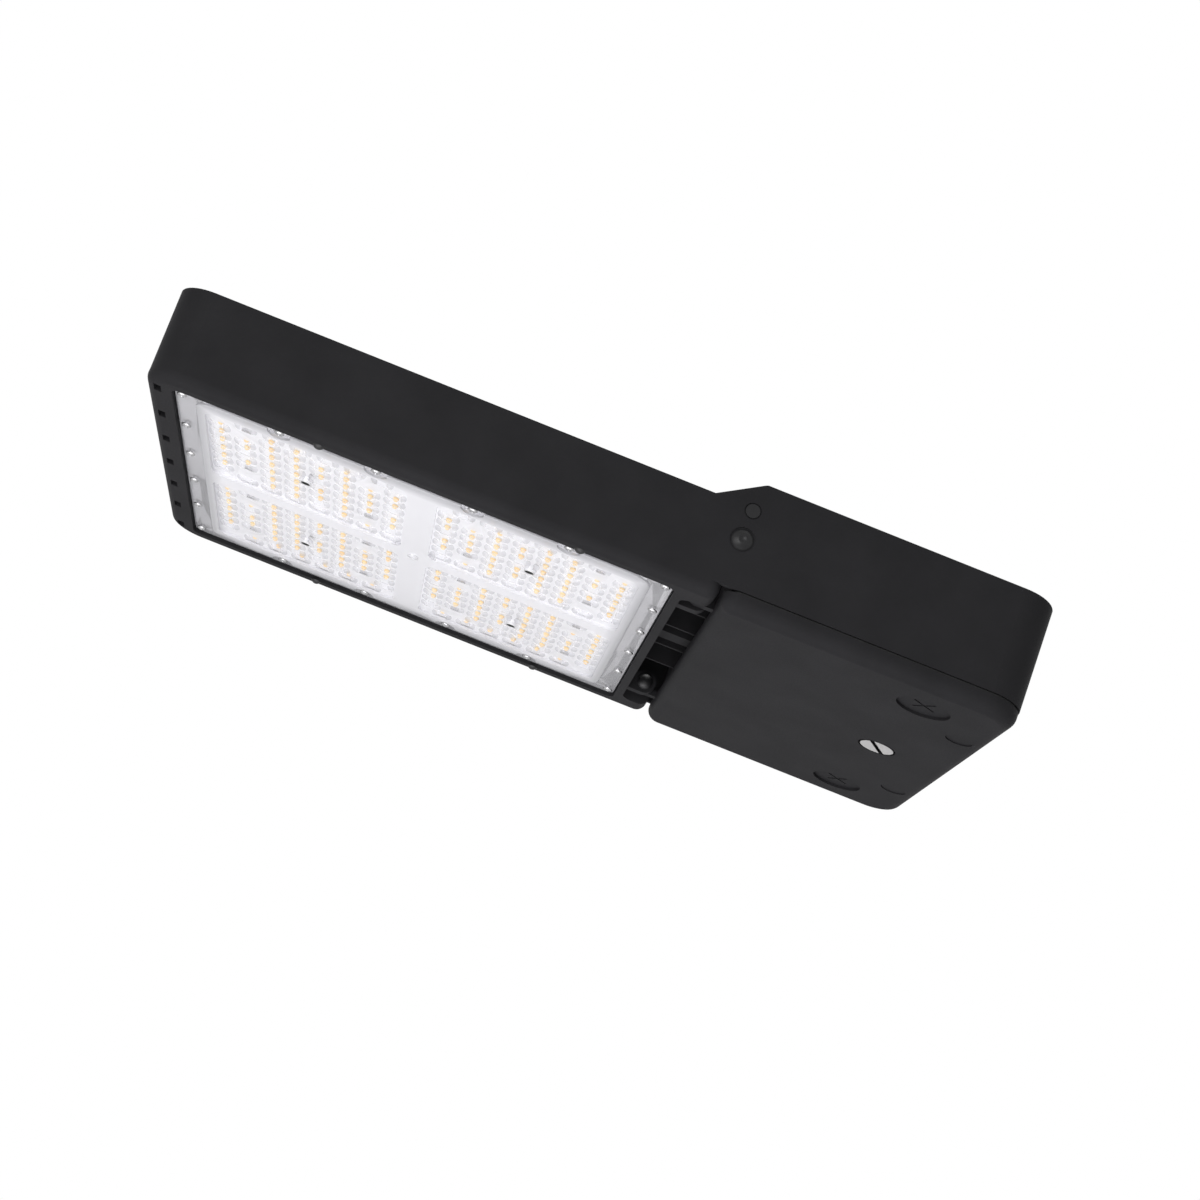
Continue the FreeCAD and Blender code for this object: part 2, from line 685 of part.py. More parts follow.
small_len = "small_shank_len"
for n, (x, y) in enumerate(lens_screw_spots):
    bores.append(rod("lens_tap_%d" % n, "small_shank_rad", small_len, "z", x, y, FLANGE))
for n, (x, y) in enumerate(clamp_spots):
    bores.append(rod("clamp_tap_%d" % n, "small_shank_rad", small_len + " + pillow_rise", "z",
                     x, y, FLANGE + " - pillow_rise"))
for n, (x, y) in enumerate(board_screw_spots):
    bores.append(rod("board_tap_%d" % n, "small_shank_rad", "board_screw_len", "z",
                     x, y, BOARD_SEAT + " - board_th"))
for n, (x, y) in enumerate(dome_spots):
    bores.append(rod("dome_tap_%d" % n, "dome_shank", "dome_len", "z", x, y, "-rim_drop"))
for n, (x, y) in enumerate(driver_feet + surge_feet + block_feet + [ground_spot]):
    bores.append(rod("device_tap_%d" % n, "device_shank_rad", "device_screw_len", "z",
                     x, y, ROOF + " - boss_len"))
housing = cut("housing", raw, bores)

# Lens plate: flange, drafted pillow with scallops at the screws, and the lens cells
flange = prism("lens_flange", ("window_len - 2 * lens_play", "window_wid - 2 * lens_play"),
               ("window_rad - lens_play", "window_rad - lens_play"), LENS_X, "0 * wall", FLANGE, "flange_th")
pillow = prism("lens_pillow", ("pillow_x", "pillow_y"), ("pillow_rad", "pillow_rad"),
               LENS_X, "0 * wall", FLANGE + " - pillow_rise", "pillow_rise + flange_th / 2", "pillow_round", 0)
scallops = []
for n, (x, y) in enumerate(long_screw_spots):
    scallops.append(rod("scallop_%d" % n, "scallop_rad", "pillow_rise", "z",
                        x, y, FLANGE + " - pillow_rise"))
raised = cut("raised_middle", pillow, scallops)

# Rows of each column that carry an LED, from the middle of the light outwards
lit_rows = {0: (1, 2, 4, 5), 1: (0, 2, 3, 4, 5), 3: (1, 2, 4, 5), 6: (2, 4, 5)}
cells = []
lit = []
for i in range(7):
    for j in range(7):
        spot = ("col_first + %d * col_pitch" % i, "row_first + %d * row_pitch" % j)
        if (i, j) not in blank_cells:
            cells.append(spot)
        if j in lit_rows.get(i, range(7)):
            lit.append(spot)
for n in range(6):
    end_spot = ("col_last", "end_first + %d * end_pitch" % n)
    edge_spot = ("edge_first + %d * edge_pitch" % n, "row_first + 7 * row_pitch")
    cells += [end_spot, edge_spot]
    lit += [end_spot, edge_spot]
sunk = "flange_th / 4"
bumps = []
for n, (x, y) in enumerate(cells):
    bumps.append(taper("cell_%d" % n, ("cell_x", "cell_y"),
                       ("cell_x - cell_draft_x", "cell_y - cell_draft_y"), "cell_rise + " + sunk, "-z",
                       "%s + %s" % (LENS_X, x), y, FLANGE + " - pillow_rise + " + sunk))
quarter_a = group("cells_near_front", bumps)
quarter_b = mirror("cells_near_rear", quarter_a, V(1, 0, 0))
quarter_c = mirror("cells_far_front", quarter_a, V(0, 1, 0))
quarter_d = mirror("cells_far_rear", quarter_b, V(0, 1, 0))
lens_solid = fuse("lens_solid", [flange, raised, quarter_a, quarter_b, quarter_c, quarter_d])
lens_room = prism("lens_room", ("pillow_x - 2 * pillow_lip", "pillow_y - 4 * pillow_lip"),
                  ("pillow_rad", "pillow_rad"), LENS_X, "0 * wall",
                  FLANGE + " - pillow_rise + pillow_wall", "flange_th + pillow_rise")
lens_bores = [lens_room]
for n, (x, y) in enumerate(lens_screw_spots):
    lens_bores.append(rod("lens_bore_%d" % n, "small_shank_rad", "3 * flange_th", "z",
                          x, y, FLANGE + " - flange_th"))
for n, (x, y) in enumerate(clamp_spots):
    lens_bores.append(rod("clamp_bore_%d" % n, "small_shank_rad", "6 * flange_th", "z",
                          x, y, FLANGE + " - 3 * flange_th"))
    lens_bores.append(rod("clamp_seat_%d" % n, "small_head_rad + clamp_clear", "2 * cell_rise", "-z",
                          x, y, FLANGE + " - pillow_rise"))
lens_plate = cut("lens_plate", lens_solid, lens_bores)

gasket_ring = prism("gasket_ring", ("window_len - 2 * lens_play", "window_wid - 2 * lens_play"),
                    ("window_rad - lens_play", "window_rad - lens_play"), LENS_X, "0 * wall",
                    FLANGE + " + flange_th", "gasket_th")
gasket_hole = prism("gasket_hole", ("window_len - 2 * ledge_x", "window_wid - 2 * ledge_y"),
                    ("window_rad", "window_rad"), LENS_X, "0 * wall", FLANGE, "3 * flange_th")
gasket_bores = [gasket_hole]
for n, (x, y) in enumerate(lens_screw_spots):
    gasket_bores.append(rod("gasket_bore_%d" % n, "small_shank_rad", "3 * flange_th", "z",
                            x, y, FLANGE))
lens_gasket = cut("lens_gasket", gasket_ring, gasket_bores)

# LED boards: one quarter is drawn, the other three are its mirror images
board = block("board_plate", ("%s + board_gap" % LENS_X, "%s + board_gap + board_x" % LENS_X),
              ("board_gap", "board_gap + board_y"), (BOARD_SEAT + " - board_th", BOARD_SEAT))
chips = []
for n, (x, y) in enumerate(lit):
    spot = "%s + %s" % (LENS_X, x)
    chips.append(block("chip_%d" % n, (spot + " - chip / 2", spot + " + chip / 2"),
                       ("%s - chip / 2" % y, "%s + chip / 2" % y),
                       (BOARD_SEAT + " - board_th - chip_th", BOARD_SEAT + " - board_th")))
board_solid = fuse("board_solid", [board] + chips)
board_bores = [rod("board_clamp_bore", "small_shank_rad + clamp_clear", "4 * board_th", "z",
                   LENS_X + " + clamp_x", "clamp_y", BOARD_SEAT + " - 2 * board_th"),
               rod("board_middle_bore", "small_shank_rad + clamp_clear", "4 * board_th", "z",
                   LENS_X, "0 * wall", BOARD_SEAT + " - 2 * board_th")]
for n, (i, j) in enumerate(blank_cells):
    board_bores.append(rod("board_bore_%d" % n, "small_shank_rad", "4 * board_th", "z",
                           "%s + col_first + %d * col_pitch" % (LENS_X, i), "row_first + %d * row_pitch" % j,
                           BOARD_SEAT + " - 2 * board_th"))
led_board_a = cut("led_board_near_front", board_solid, board_bores)
REAR_EDGE = "window_start + ledge_x + board_play_x"
notch_cut = block("board_notch", (REAR_EDGE + " - wall", REAR_EDGE + " + notch_len"),
                  ("0 * wall", "notch_wid"), (BOARD_SEAT + " - 2 * board_th", BOARD_SEAT + " + board_th"))
led_board_b = cut("led_board_near_rear", mirror("rear_blank", led_board_a, V(1, 0, 0)), [notch_cut])
led_board_c = mirror("led_board_far_front", led_board_a, V(0, 1, 0))
led_board_d = mirror("led_board_far_rear", led_board_b, V(0, 1, 0))


def slotted_screw(name, head_rad, head_th, shank_rad, shank_len, x, y, z):
    # The head hangs below the seat at z, the shank rises above it.
    head = rod(name + "_head", head_rad, head_th, "-z", x, y, z)
    shank = rod(name + "_shank", shank_rad, shank_len, "z", x, y, z)
    slot = block(name + "_slot", ("%s - %s" % (x, head_rad), "%s + %s" % (x, head_rad)),
                 ("%s - slot_th / 2" % y, "%s + slot_th / 2" % y),
                 ("%s - %s" % (z, head_th), "%s - %s / 2" % (z, head_th)))
    return cut(name, fuse(name + "_solid", [head, shank]), [slot])


lens_screws = group("lens_screws", [
    slotted_screw("lens_screw_%d" % n, "small_head_rad", "small_head_th", "small_shank_rad", "small_shank_len",
                  x, y, FLANGE)
    for n, (x, y) in enumerate(lens_screw_spots)])
clamp_screws = group("clamp_screws", [
    slotted_screw("clamp_screw_%d" % n, "small_head_rad", "small_head_th", "small_shank_rad",
                  "small_shank_len + pillow_rise", x, y, FLANGE + " - pillow_rise")
    for n, (x, y) in enumerate(clamp_spots)])
board_screws = group("board_screws", [
    slotted_screw("board_screw_%d" % n, "small_head_rad", "small_head_th", "small_shank_rad",
                  "board_screw_len", x, y, BOARD_SEAT + " - board_th")
    for n, (x, y) in enumerate(board_screw_spots)])
rim_screws = group("rim_screws", [
    fuse("rim_screw_%d" % n, [ball_cap("rim_cap_%d" % n, "dome_rad", "dome_rise", "-z", x, y, "-rim_drop"),
                              rod("rim_shank_%d" % n, "dome_shank", "dome_len", "z", x, y, "-rim_drop")])
    for n, (x, y) in enumerate(dome_spots)])

# Driver door: filleted tray with hinge ears, latch boss and knock-outs
DOOR_MID = "door_inset + door_len / 2"
tray = prism("door_block", ("door_len", "body_wid"), ("corner_rad", "door_rad"), DOOR_MID, "0 * wall",
             "-door_drop", "%s + door_drop" % DOOR_TOP, "door_fillet", 0)
room_len = "box_len - 2 * door_wall"
door_room = prism("door_room", (room_len, "body_wid - 2 * door_wall"), ("corner_rad - door_wall", "door_wall"),
                  "door_wall + (%s) / 2" % room_len, "0 * wall", DOOR_INSIDE, "door_drop",
                  "door_fillet / 2", 0)
door_parts = [cut("door_tray", tray, [door_room])]
for side, word in ((1, "near"), (-1, "far")):
    low = "hinge_y + lug_th + ear_clear" if side > 0 else "-hinge_y - lug_th - ear_clear - ear_th"
    door_parts.append(block("ear_arm_" + word, ("box_len - door_wall / 2", "hinge_x"),
                            (low, "%s + ear_th" % low), ("-seam_drop - ear_rad", DOOR_TOP)))
    door_parts.append(rod("ear_eye_" + word, "ear_rad", "ear_th", "y", "hinge_x", low, "-seam_drop"))
    door_parts.append(rod("knock_web_" + word, "knock_rad + knock_web", "knock_deep + door_floor / 2", "z",
                          "latch_x", "%d * knock_y" % side, DOOR_INSIDE + " - door_floor / 2"))
door_parts.append(rod("latch_boss", "latch_boss_rad", "latch_boss_rise + door_floor / 2", "z",
                      "latch_x", "0 * wall", DOOR_INSIDE + " - door_floor / 2"))
door_cuts = []
for side, word in ((1, "near"), (-1, "far")):
    low = "hinge_y + lug_th - wall" if side > 0 else "-hinge_y - lug_th - ear_th - 2 * wall"
    door_cuts.append(rod("ear_bore_" + word, "pin_rad + pin_clear", "ear_th + 3 * wall", "y",
                         "hinge_x", low, "-seam_drop"))
    door_cuts.append(rod("knock_out_" + word, "knock_rad", "knock_deep + door_floor", "z", "latch_x",
                         "%d * knock_y" % side, "-door_drop - door_floor"))
    door_cuts.append(rod("mark_" + word, "mark_rad", "mark_deep + door_floor", "z", "mark_x",
                         "%d * mark_y" % side, "-door_drop - door_floor"))
    for line, turn in enumerate((35, -55)):
        score_size = ("score_len", "score_wid", "score_deep + door_floor")
        door_cuts.append(turned_bar("score_%s_%d" % (word, line), score_size, turn, "latch_x",
                                    "%d * knock_y" % side, "-door_drop + knock_deep - door_floor"))
door_cuts.append(rod("latch_seat", "latch_rad + latch_clear", "latch_head + pin_clear + door_floor", "z",
                     "latch_x", "0 * wall", "-door_drop - door_floor"))
door_cuts.append(rod("latch_bore", "latch_shank + pin_clear", "3 * latch_boss_rise", "z",
                     "latch_x", "0 * wall", "-door_drop"))
driver_door = cut("driver_door", fuse("door_solid", door_parts), door_cuts)

seal_out = prism("seal_ring", ("box_len - 2 * seal_in", "body_wid - 2 * seal_in"),
                 ("corner_rad - seal_in", "wall"), "box_len / 2", "0 * wall", DOOR_TOP, "seam_gap")
seal_edge = "2 * seal_in - 2 * seal_wid"
seal_hole = prism("seal_hole", ("box_len - " + seal_edge, "body_wid - " + seal_edge),
                  ("corner_rad - seal_in - seal_wid", "wall"), "box_len / 2", "0 * wall",
                  DOOR_TOP + " - seam_gap", "3 * seam_gap")
door_gasket = cut("door_gasket", seal_out, [seal_hole])

# Hinge pins: domed heads on the inner faces of the lugs
pins = []
for side, word, axis in ((1, "near", "y"), (-1, "far", "-y")):
    start = "%d * hinge_y" % side
    out = "-y" if side > 0 else "y"
    shank = rod("pin_shank_" + word, "pin_rad", "lug_th + ear_clear + ear_th", axis,
                "hinge_x", start, "-seam_drop")
    cap = ball_cap("pin_cap_" + word, "pin_head_rad", "pin_head_rise", out, "hinge_x", start, "-seam_drop")
    pins.append(fuse("hinge_pin_" + word, [shank, cap]))

# Quarter-turn latch
CAM_LOW = SHELF_TOP + " + cam_clear"
stud_head = rod("stud_head", "latch_rad", "latch_head", "z", "latch_x", "0 * wall", "-door_drop")
stud_shank = rod("stud_shank", "latch_shank", "%s + door_drop" % CAM_LOW, "z",
                 "latch_x", "0 * wall", "-door_drop")
stud_end = rod("stud_end", "latch_thread", "%s + cam_th + nut_th + door_drop" % CAM_LOW, "z",
               "latch_x", "0 * wall", "-door_drop")
stud_slot = turned_bar("stud_slot", ("3 * latch_rad", "latch_slot", "2 * latch_slot_deep"), 60,
                       "latch_x", "0 * wall", "-door_drop - latch_slot_deep")
latch_stud = cut("latch_stud", fuse("stud_solid", [stud_head, stud_shank, stud_end]), [stud_slot])

cam_bar = prism("cam_bar", ("cam_wid", "cam_len"), ("cam_wid / 4", "cam_wid / 4"),
                "latch_x", "0 * wall", CAM_LOW, "cam_th")
cam_bore = rod("cam_bore", "latch_thread", "3 * cam_th", "z", "latch_x", "0 * wall", CAM_LOW + " - cam_th")
latch_cam = cut("latch_cam", cam_bar, [cam_bore])
nut_hex = doc.addObject("Part::Prism", "nut_hex")
nut_hex.Polygon = 6
bind(nut_hex, "Circumradius", "nut_flat / 1.7320508")
bind(nut_hex, "Height", "nut_th")
put(nut_hex, "latch_x", "0 * wall", CAM_LOW + " + cam_th")
nut_bore = rod("nut_bore", "latch_thread", "3 * nut_th", "z", "latch_x", "0 * wall", CAM_LOW)
latch_nut = cut("latch_nut", nut_hex, [nut_bore])
CLIP_LOW = DOOR_INSIDE + " + latch_boss_rise"
clip_disc = rod("clip_disc", "clip_rad", "clip_th", "z", "latch_x", "0 * wall", CLIP_LOW)
clip_bore = rod("clip_bore", "latch_shank", "3 * clip_th", "z", "latch_x", "0 * wall", CLIP_LOW + " - clip_th")
clip_mouth = block("clip_mouth", ("latch_x", "latch_x + 2 * clip_rad"),
                   ("-latch_shank * 0.7", "latch_shank * 0.7"),
                   (CLIP_LOW + " - clip_th", CLIP_LOW + " + 2 * clip_th"))
latch_clip = cut("latch_clip", clip_disc, [clip_bore, clip_mouth])

# Electrical parts on bosses under the roof of the driver box
SEAT = ROOF + " - boss_len"
driver_case = prism("driver_case", ("driver_wid", "driver_len"), ("foot_th", "foot_th"),
                    DRIVER_MID, "0 * wall", SEAT + " - driver_high", "driver_high", "foot_th / 2", 0)
driver_foot = block("driver_foot", ("driver_x", "driver_x + driver_wid"),
                    ("-driver_len / 2 - foot_len", "driver_len / 2 + foot_len"), (SEAT + " - foot_th", SEAT))


def device_holes(name, spots, depth):
    low = SEAT + " - 2 * " + depth
    return [rod("%s_hole_%d" % (name, n), "device_shank_rad", "3 * " + depth, "z", x, y, low)
            for n, (x, y) in enumerate(spots)]


led_driver = cut("led_driver", fuse("driver_solid", [driver_case, driver_foot]),
                 device_holes("driver", driver_feet, "foot_th"))
surge_case = block("surge_case", ("surge_x", "surge_x + surge_len"), ("surge_y", "surge_y + surge_wid"),
                   (SEAT + " - surge_high", SEAT))
surge_tab = block("surge_tab", (SURGE_X + " - tab_len", SURGE_X + " + tab_len"),
                  ("surge_y - tab_len", "surge_y + surge_wid + tab_len"), (SEAT + " - tab_th", SEAT))
surge_protector = cut("surge_protector", fuse("surge_solid", [surge_case, surge_tab]),
                      device_holes("surge", surge_feet, "tab_th"))
block_case = block("block_case", ("block_x", "block_x + block_len"), ("block_y", "block_y + block_wid"),
                   (SEAT + " - block_high", SEAT))
block_tab = block("block_tab", (BLOCK_X + " - tab_len / 2", BLOCK_X + " + tab_len / 2"),
                  ("block_y - tab_len", "block_y + block_wid + tab_len"), (SEAT + " - tab_th", SEAT))
ports = device_holes("block", block_feet, "tab_th")
for n in range(3):
    ports.append(rod("port_%d" % n, "block_wid / 10", "block_len / 3", "x", "block_x - block_len / 10",
                     "block_y + block_wid * %d / 6" % (2 * n + 1), SEAT + " - block_high / 2"))
terminal_block = cut("terminal_block", fuse("block_solid", [block_case, block_tab]), ports)


def device_screws(name, spots, depth):
    return group(name, [
        slotted_screw("%s_%d" % (name, n), "device_screw_rad", "small_head_th", "device_shank_rad",
                      "device_screw_len + " + depth, x, y, SEAT + " - " + depth)
        for n, (x, y) in enumerate(spots)])


driver_screws = device_screws("driver_screws", driver_feet, "foot_th")
device_tab_screws = device_screws("device_screws", surge_feet + block_feet, "tab_th")
ground_screw = slotted_screw("ground_screw", "device_screw_rad", "small_head_th", "device_shank_rad",
                             "device_screw_len", "ground_x", "ground_y", SEAT)

# Grommet where the LED leads leave the driver box
BOX_FACE = "box_len - wall"
grommet_body = rod("grommet_body", "grommet_rad - grommet_lip", "wall", "x", BOX_FACE, "0 * wall", WIRE_Z)
grommet_flange = rod("grommet_flange", "grommet_rad", "grommet_lip", "x",
                     BOX_FACE + " - grommet_lip", "0 * wall", WIRE_Z)
grommet_hole = rod("grommet_hole", "grommet_bore", "4 * wall", "x",
                   BOX_FACE + " - 2 * wall", "0 * wall", WIRE_Z)
wire_grommet = cut("wire_grommet", fuse("grommet_solid", [grommet_body, grommet_flange]), [grommet_hole])

# LED leads: from the driver through the grommet and the wireway to a joint between the boards
def lead_bend(name, radius, x, y, z, low=False):
    obj = doc.addObject("Part::Torus", name)
    bind(obj, "Radius1", radius)
    bind(obj, "Radius2", "lead_rad")
    obj.Angle3 = 90
    turn = FreeCAD.Rotation(V(1, 0, 0), 90)
    if low:
        turn = FreeCAD.Rotation(V(0, 1, 0), 180).multiply(turn)
    obj.Placement = FreeCAD.Placement(V(0, 0, 0), turn)
    put(obj, x, y, z)
    return obj


DROP_X = "%s + wireway_over - wireway_bore" % HEAD_START
OUT_X = "driver_x + driver_wid"
OUT_Z = SEAT + " - driver_high / 2"
leads = []
for side, word in ((1, "red"), (-1, "black")):
    y = "%d * lead_side" % side
    runs = [
        rod("run_out_" + word, "lead_rad", "lead_out", "x", OUT_X, y, OUT_Z),
        lead_bend("bend_out_" + word, "lead_bend", OUT_X + " + lead_out", y, OUT_Z + " - lead_bend"),
        rod("run_down_" + word, "lead_rad", "%s - (%s) - 2 * lead_bend" % (OUT_Z, WIRE_Z), "z",
            OUT_X + " + lead_out + lead_bend", y, WIRE_Z + " + lead_bend"),
        lead_bend("bend_in_" + word, "lead_bend", OUT_X + " + lead_out + 2 * lead_bend",
                  y, WIRE_Z + " + lead_bend", True),
        rod("run_way_" + word, "lead_rad",
            "%s - lead_turn - (%s) - lead_out - 2 * lead_bend" % (DROP_X, OUT_X), "x",
            OUT_X + " + lead_out + 2 * lead_bend", y, WIRE_Z),
        lead_bend("bend_drop_" + word, "lead_turn", DROP_X + " - lead_turn", y, WIRE_Z + " - lead_turn"),
        rod("run_drop_" + word, "lead_rad", "%s - lead_turn - (%s)" % (WIRE_Z, BOARD_SEAT), "z",
            DROP_X, y, BOARD_SEAT),
    ]
    leads.append(fuse("led_lead_" + word, runs))
lead_joint = prism("lead_joint", ("joint_len", "2 * notch_wid"), ("lead_rad", "lead_rad"),
                   REAR_EDGE + " + notch_len - joint_len / 2", "0 * wall",
                   BOARD_SEAT + " - joint_high", "joint_high", "lead_rad / 2", 0)

# Plugs on sunk seats in the near side wall
PLUG_SEAT = HALF + " - plug_seat"
big_cap = ball_cap("plug_cap", "plug_big_rad", "plug_big_rise", "y", "plug_x", PLUG_SEAT, "-plug_big_drop")
big_tail = rod("plug_tail_big", "plug_big_shank", "wall + plug_tail - plug_seat", "-y",
               "plug_x", PLUG_SEAT, "-plug_big_drop")
big_hollow = ball_cap("plug_hollow", "plug_dimple", "plug_dimple_deep", "-y",
                      "plug_x", PLUG_SEAT + " + plug_big_rise", "-plug_big_drop")
side_plug_large = cut("side_plug_large", fuse("plug_solid", [big_cap, big_tail]), [big_hollow])
small_disc = rod("plug_disc", "plug_small_rad", "plug_seat", "y", "plug_x", PLUG_SEAT, "plug_small_rise")
small_tail = rod("plug_tail_small", "plug_small_shank", "wall + plug_tail - plug_seat", "-y",
                 "plug_x", PLUG_SEAT, "plug_small_rise")
side_plug_small = fuse("side_plug_small", [small_disc, small_tail])

NODES = [
    housing, lens_plate, lens_gasket, led_board_a, led_board_b, led_board_c, led_board_d,
    lens_screws, clamp_screws, board_screws, rim_screws, driver_door, door_gasket, pins[0], pins[1],
    latch_stud, latch_cam, latch_nut, latch_clip, led_driver, driver_screws, surge_protector,
    terminal_block, device_tab_screws, ground_screw, wire_grommet, leads[0], leads[1], lead_joint,
    side_plug_large, side_plug_small,
]

doc.recompute()
for obj in doc.Objects:
    if "Invalid" in obj.State or "Error" in obj.State:
        raise RuntimeError("%s did not compute" % obj.Name)
os.makedirs("parts", exist_ok=True)
for obj in NODES:
    if obj.Shape.isNull() or not obj.Shape.isValid():
        raise RuntimeError("%s has no valid shape" % obj.Name)
    obj.Label = obj.Name
    obj.Shape.exportStep("parts/%s.step" % obj.Name)
    box = obj.Shape.BoundBox
    print(obj.Name, len(obj.Shape.Solids), round(obj.Shape.Volume), [round(v, 1) for v in
          (box.XMin, box.XMax, box.YMin, box.YMax, box.ZMin, box.ZMax)])
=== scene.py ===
# %% [markdown]
# # LED flood light, seen from below
# The CAD model is the frame: every casting, door, board and screw sits where it was built, in metres.
# This script dresses that frame. It adds the moulded lenses, the LEDs and the rounded screw heads,
# gives each piece its finish, and sets up the camera and the light of the photo.

# %% Load the frame
import math
import bmesh
import bpy
from mathutils import Matrix, Vector
from mathutils.kdtree import KDTree


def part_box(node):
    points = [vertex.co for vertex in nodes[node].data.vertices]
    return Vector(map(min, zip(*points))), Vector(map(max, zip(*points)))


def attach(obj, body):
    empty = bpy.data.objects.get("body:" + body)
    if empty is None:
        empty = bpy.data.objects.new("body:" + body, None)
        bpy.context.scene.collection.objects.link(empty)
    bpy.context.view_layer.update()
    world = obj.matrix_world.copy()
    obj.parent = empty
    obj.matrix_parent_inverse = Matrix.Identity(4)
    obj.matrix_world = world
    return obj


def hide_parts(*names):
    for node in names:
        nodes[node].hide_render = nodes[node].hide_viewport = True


MM = 0.001
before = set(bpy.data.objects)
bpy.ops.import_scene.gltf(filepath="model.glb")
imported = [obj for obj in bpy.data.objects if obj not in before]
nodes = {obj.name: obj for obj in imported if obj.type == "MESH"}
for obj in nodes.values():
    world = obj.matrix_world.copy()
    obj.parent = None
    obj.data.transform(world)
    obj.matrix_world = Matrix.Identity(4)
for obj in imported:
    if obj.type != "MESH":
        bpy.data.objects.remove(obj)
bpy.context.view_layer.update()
scene = bpy.context.scene

# %% [markdown]
# ## Helpers for finishes
# A material starts as a Principled shader. The helpers add nodes and links, so that each finish
# below reads as a short recipe: where its pattern comes from, and which socket it drives.

# %% Materials and nodes
def new_material(name, color, roughness, metallic=0.0):
    mat = bpy.data.materials.new(name)
    mat.use_nodes = True
    shader = mat.node_tree.nodes["Principled BSDF"]
    shader.inputs["Base Color"].default_value = (*color, 1.0)
    shader.inputs["Roughness"].default_value = roughness
    shader.inputs["Metallic"].default_value = metallic
    return mat, mat.node_tree, shader


def add_node(tree, kind, **values):
    node = tree.nodes.new(kind)
    for name, value in values.items():
        if name in node.inputs:
            node.inputs[name].default_value = value
        else:
            setattr(node, name, value)
    return node

# %% Patterns
def noise(tree, scale, detail=2.0, stretch=(1.0, 1.0, 1.0)):
    place = add_node(tree, "ShaderNodeTexCoord")
    sized = add_node(tree, "ShaderNodeMapping", Scale=stretch)
    grain = add_node(tree, "ShaderNodeTexNoise", Scale=scale, Detail=detail)
    tree.links.new(place.outputs["Object"], sized.inputs["Vector"])
    tree.links.new(sized.outputs["Vector"], grain.inputs["Vector"])
    return grain.outputs["Fac"]


def ramp(tree, source, low, high, start=0.3, stop=0.7):
    # A colour that goes from low to high while the source goes from start to stop.
    mix = add_node(tree, "ShaderNodeValToRGB")
    mix.color_ramp.elements[0].position = start
    mix.color_ramp.elements[1].position = stop
    mix.color_ramp.elements[0].color = (*low, 1.0)
    mix.color_ramp.elements[1].color = (*high, 1.0)
    tree.links.new(source, mix.inputs["Fac"])
    return mix.outputs["Color"]


def spread(tree, source, low, high, start=0.3, stop=0.7):
    # A number that goes from low to high while the source goes from start to stop.
    reach = add_node(tree, "ShaderNodeMapRange")
    reach.inputs["From Min"].default_value = start
    reach.inputs["From Max"].default_value = stop
    reach.inputs["To Min"].default_value = low
    reach.inputs["To Max"].default_value = high
    tree.links.new(source, reach.inputs["Value"])
    return reach.outputs["Result"]


def bumps(tree, shader, source, strength, distance):
    bump = add_node(tree, "ShaderNodeBump", Strength=strength, Distance=distance)
    tree.links.new(source, bump.inputs["Height"])
    tree.links.new(bump.outputs["Normal"], shader.inputs["Normal"])

# %% Finishes
CLOUD_SCALE = 25.0
CLOUD_DETAIL = 3.0
GRAIN_DEPTH = 0.4


def grained(name, color, rough, grain, metallic=0.0, relief=0.1, stretch=(1.0, 1.0, 1.0)):
    # Uneven roughness and a fine relief. Grain is the size of that relief in metres.
    mat, tree, shader = new_material(name, color, rough[0], metallic)
    fine = noise(tree, 1.0 / grain, 2.0, stretch)
    tree.links.new(spread(tree, fine, *rough), shader.inputs["Roughness"])
    bumps(tree, shader, fine, relief, grain * GRAIN_DEPTH)
    return mat, tree, shader


def finish(name, dark, light, rough, grain, *more):
    # A grained finish with a cloudy colour.
    mat, tree, shader = grained(name, light, rough, grain, *more)
    cloud = noise(tree, CLOUD_SCALE, CLOUD_DETAIL)
    tree.links.new(ramp(tree, cloud, dark, light), shader.inputs["Base Color"])
    return mat, tree, shader


def dress(names, mat):
    for name in names:
        piece = nodes[name]
        piece.data.materials.clear()
        piece.data.materials.append(mat)
    print(mat.name, "on", ", ".join(names))

# %% [markdown]
# ## Helpers for pieces
# New pieces are drawn in bmesh and ride on a body of the frame. Their places are read from the CAD
# meshes: the separate solids of a node give the screws, and the flat tops at its lowest level
# give the lens cells and the LEDs. Reading them keeps each new piece true to the CAD model.

# %% Add a piece
LEVEL_FACE = 0.999


def add_piece(name, shape, body, mat, sharp):
    # Level faces stay flat, the others are smooth, and edges over the sharp angle in degrees stay crisp.
    mesh = bpy.data.meshes.new(name)
    bmesh.ops.recalc_face_normals(shape, faces=shape.faces)
    shape.to_mesh(mesh)
    shape.free()
    smooth = [abs(face.normal.z) < LEVEL_FACE for face in mesh.polygons]
    mesh.polygons.foreach_set("use_smooth", smooth)
    mesh.set_sharp_from_angle(angle=math.radians(sharp))
    mesh.materials.append(mat)
    piece = bpy.data.objects.new(name, mesh)
    scene.collection.objects.link(piece)
    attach(piece, body)
    print(name, len(mesh.polygons), "faces on", body)
    return piece

# %% Places in the CAD meshes
MERGE = 0.001 * MM
FLAT = 0.02 * MM


def merged_copy(name):
    # A CAD mesh is loose triangles, so a copy of it is merged first.
    shape = bmesh.new()
    shape.from_mesh(nodes[name].data)
    bmesh.ops.remove_doubles(shape, verts=shape.verts, dist=MERGE)
    return shape


def clusters(items, neighbours):
    # Groups of items that hang together.
    left = set(items)
    found = []
    while left:
        group = [left.pop()]
        for item in group:
            near = left.intersection(neighbours(item))
            left -= near
            group += near
        found.append(group)
    return found


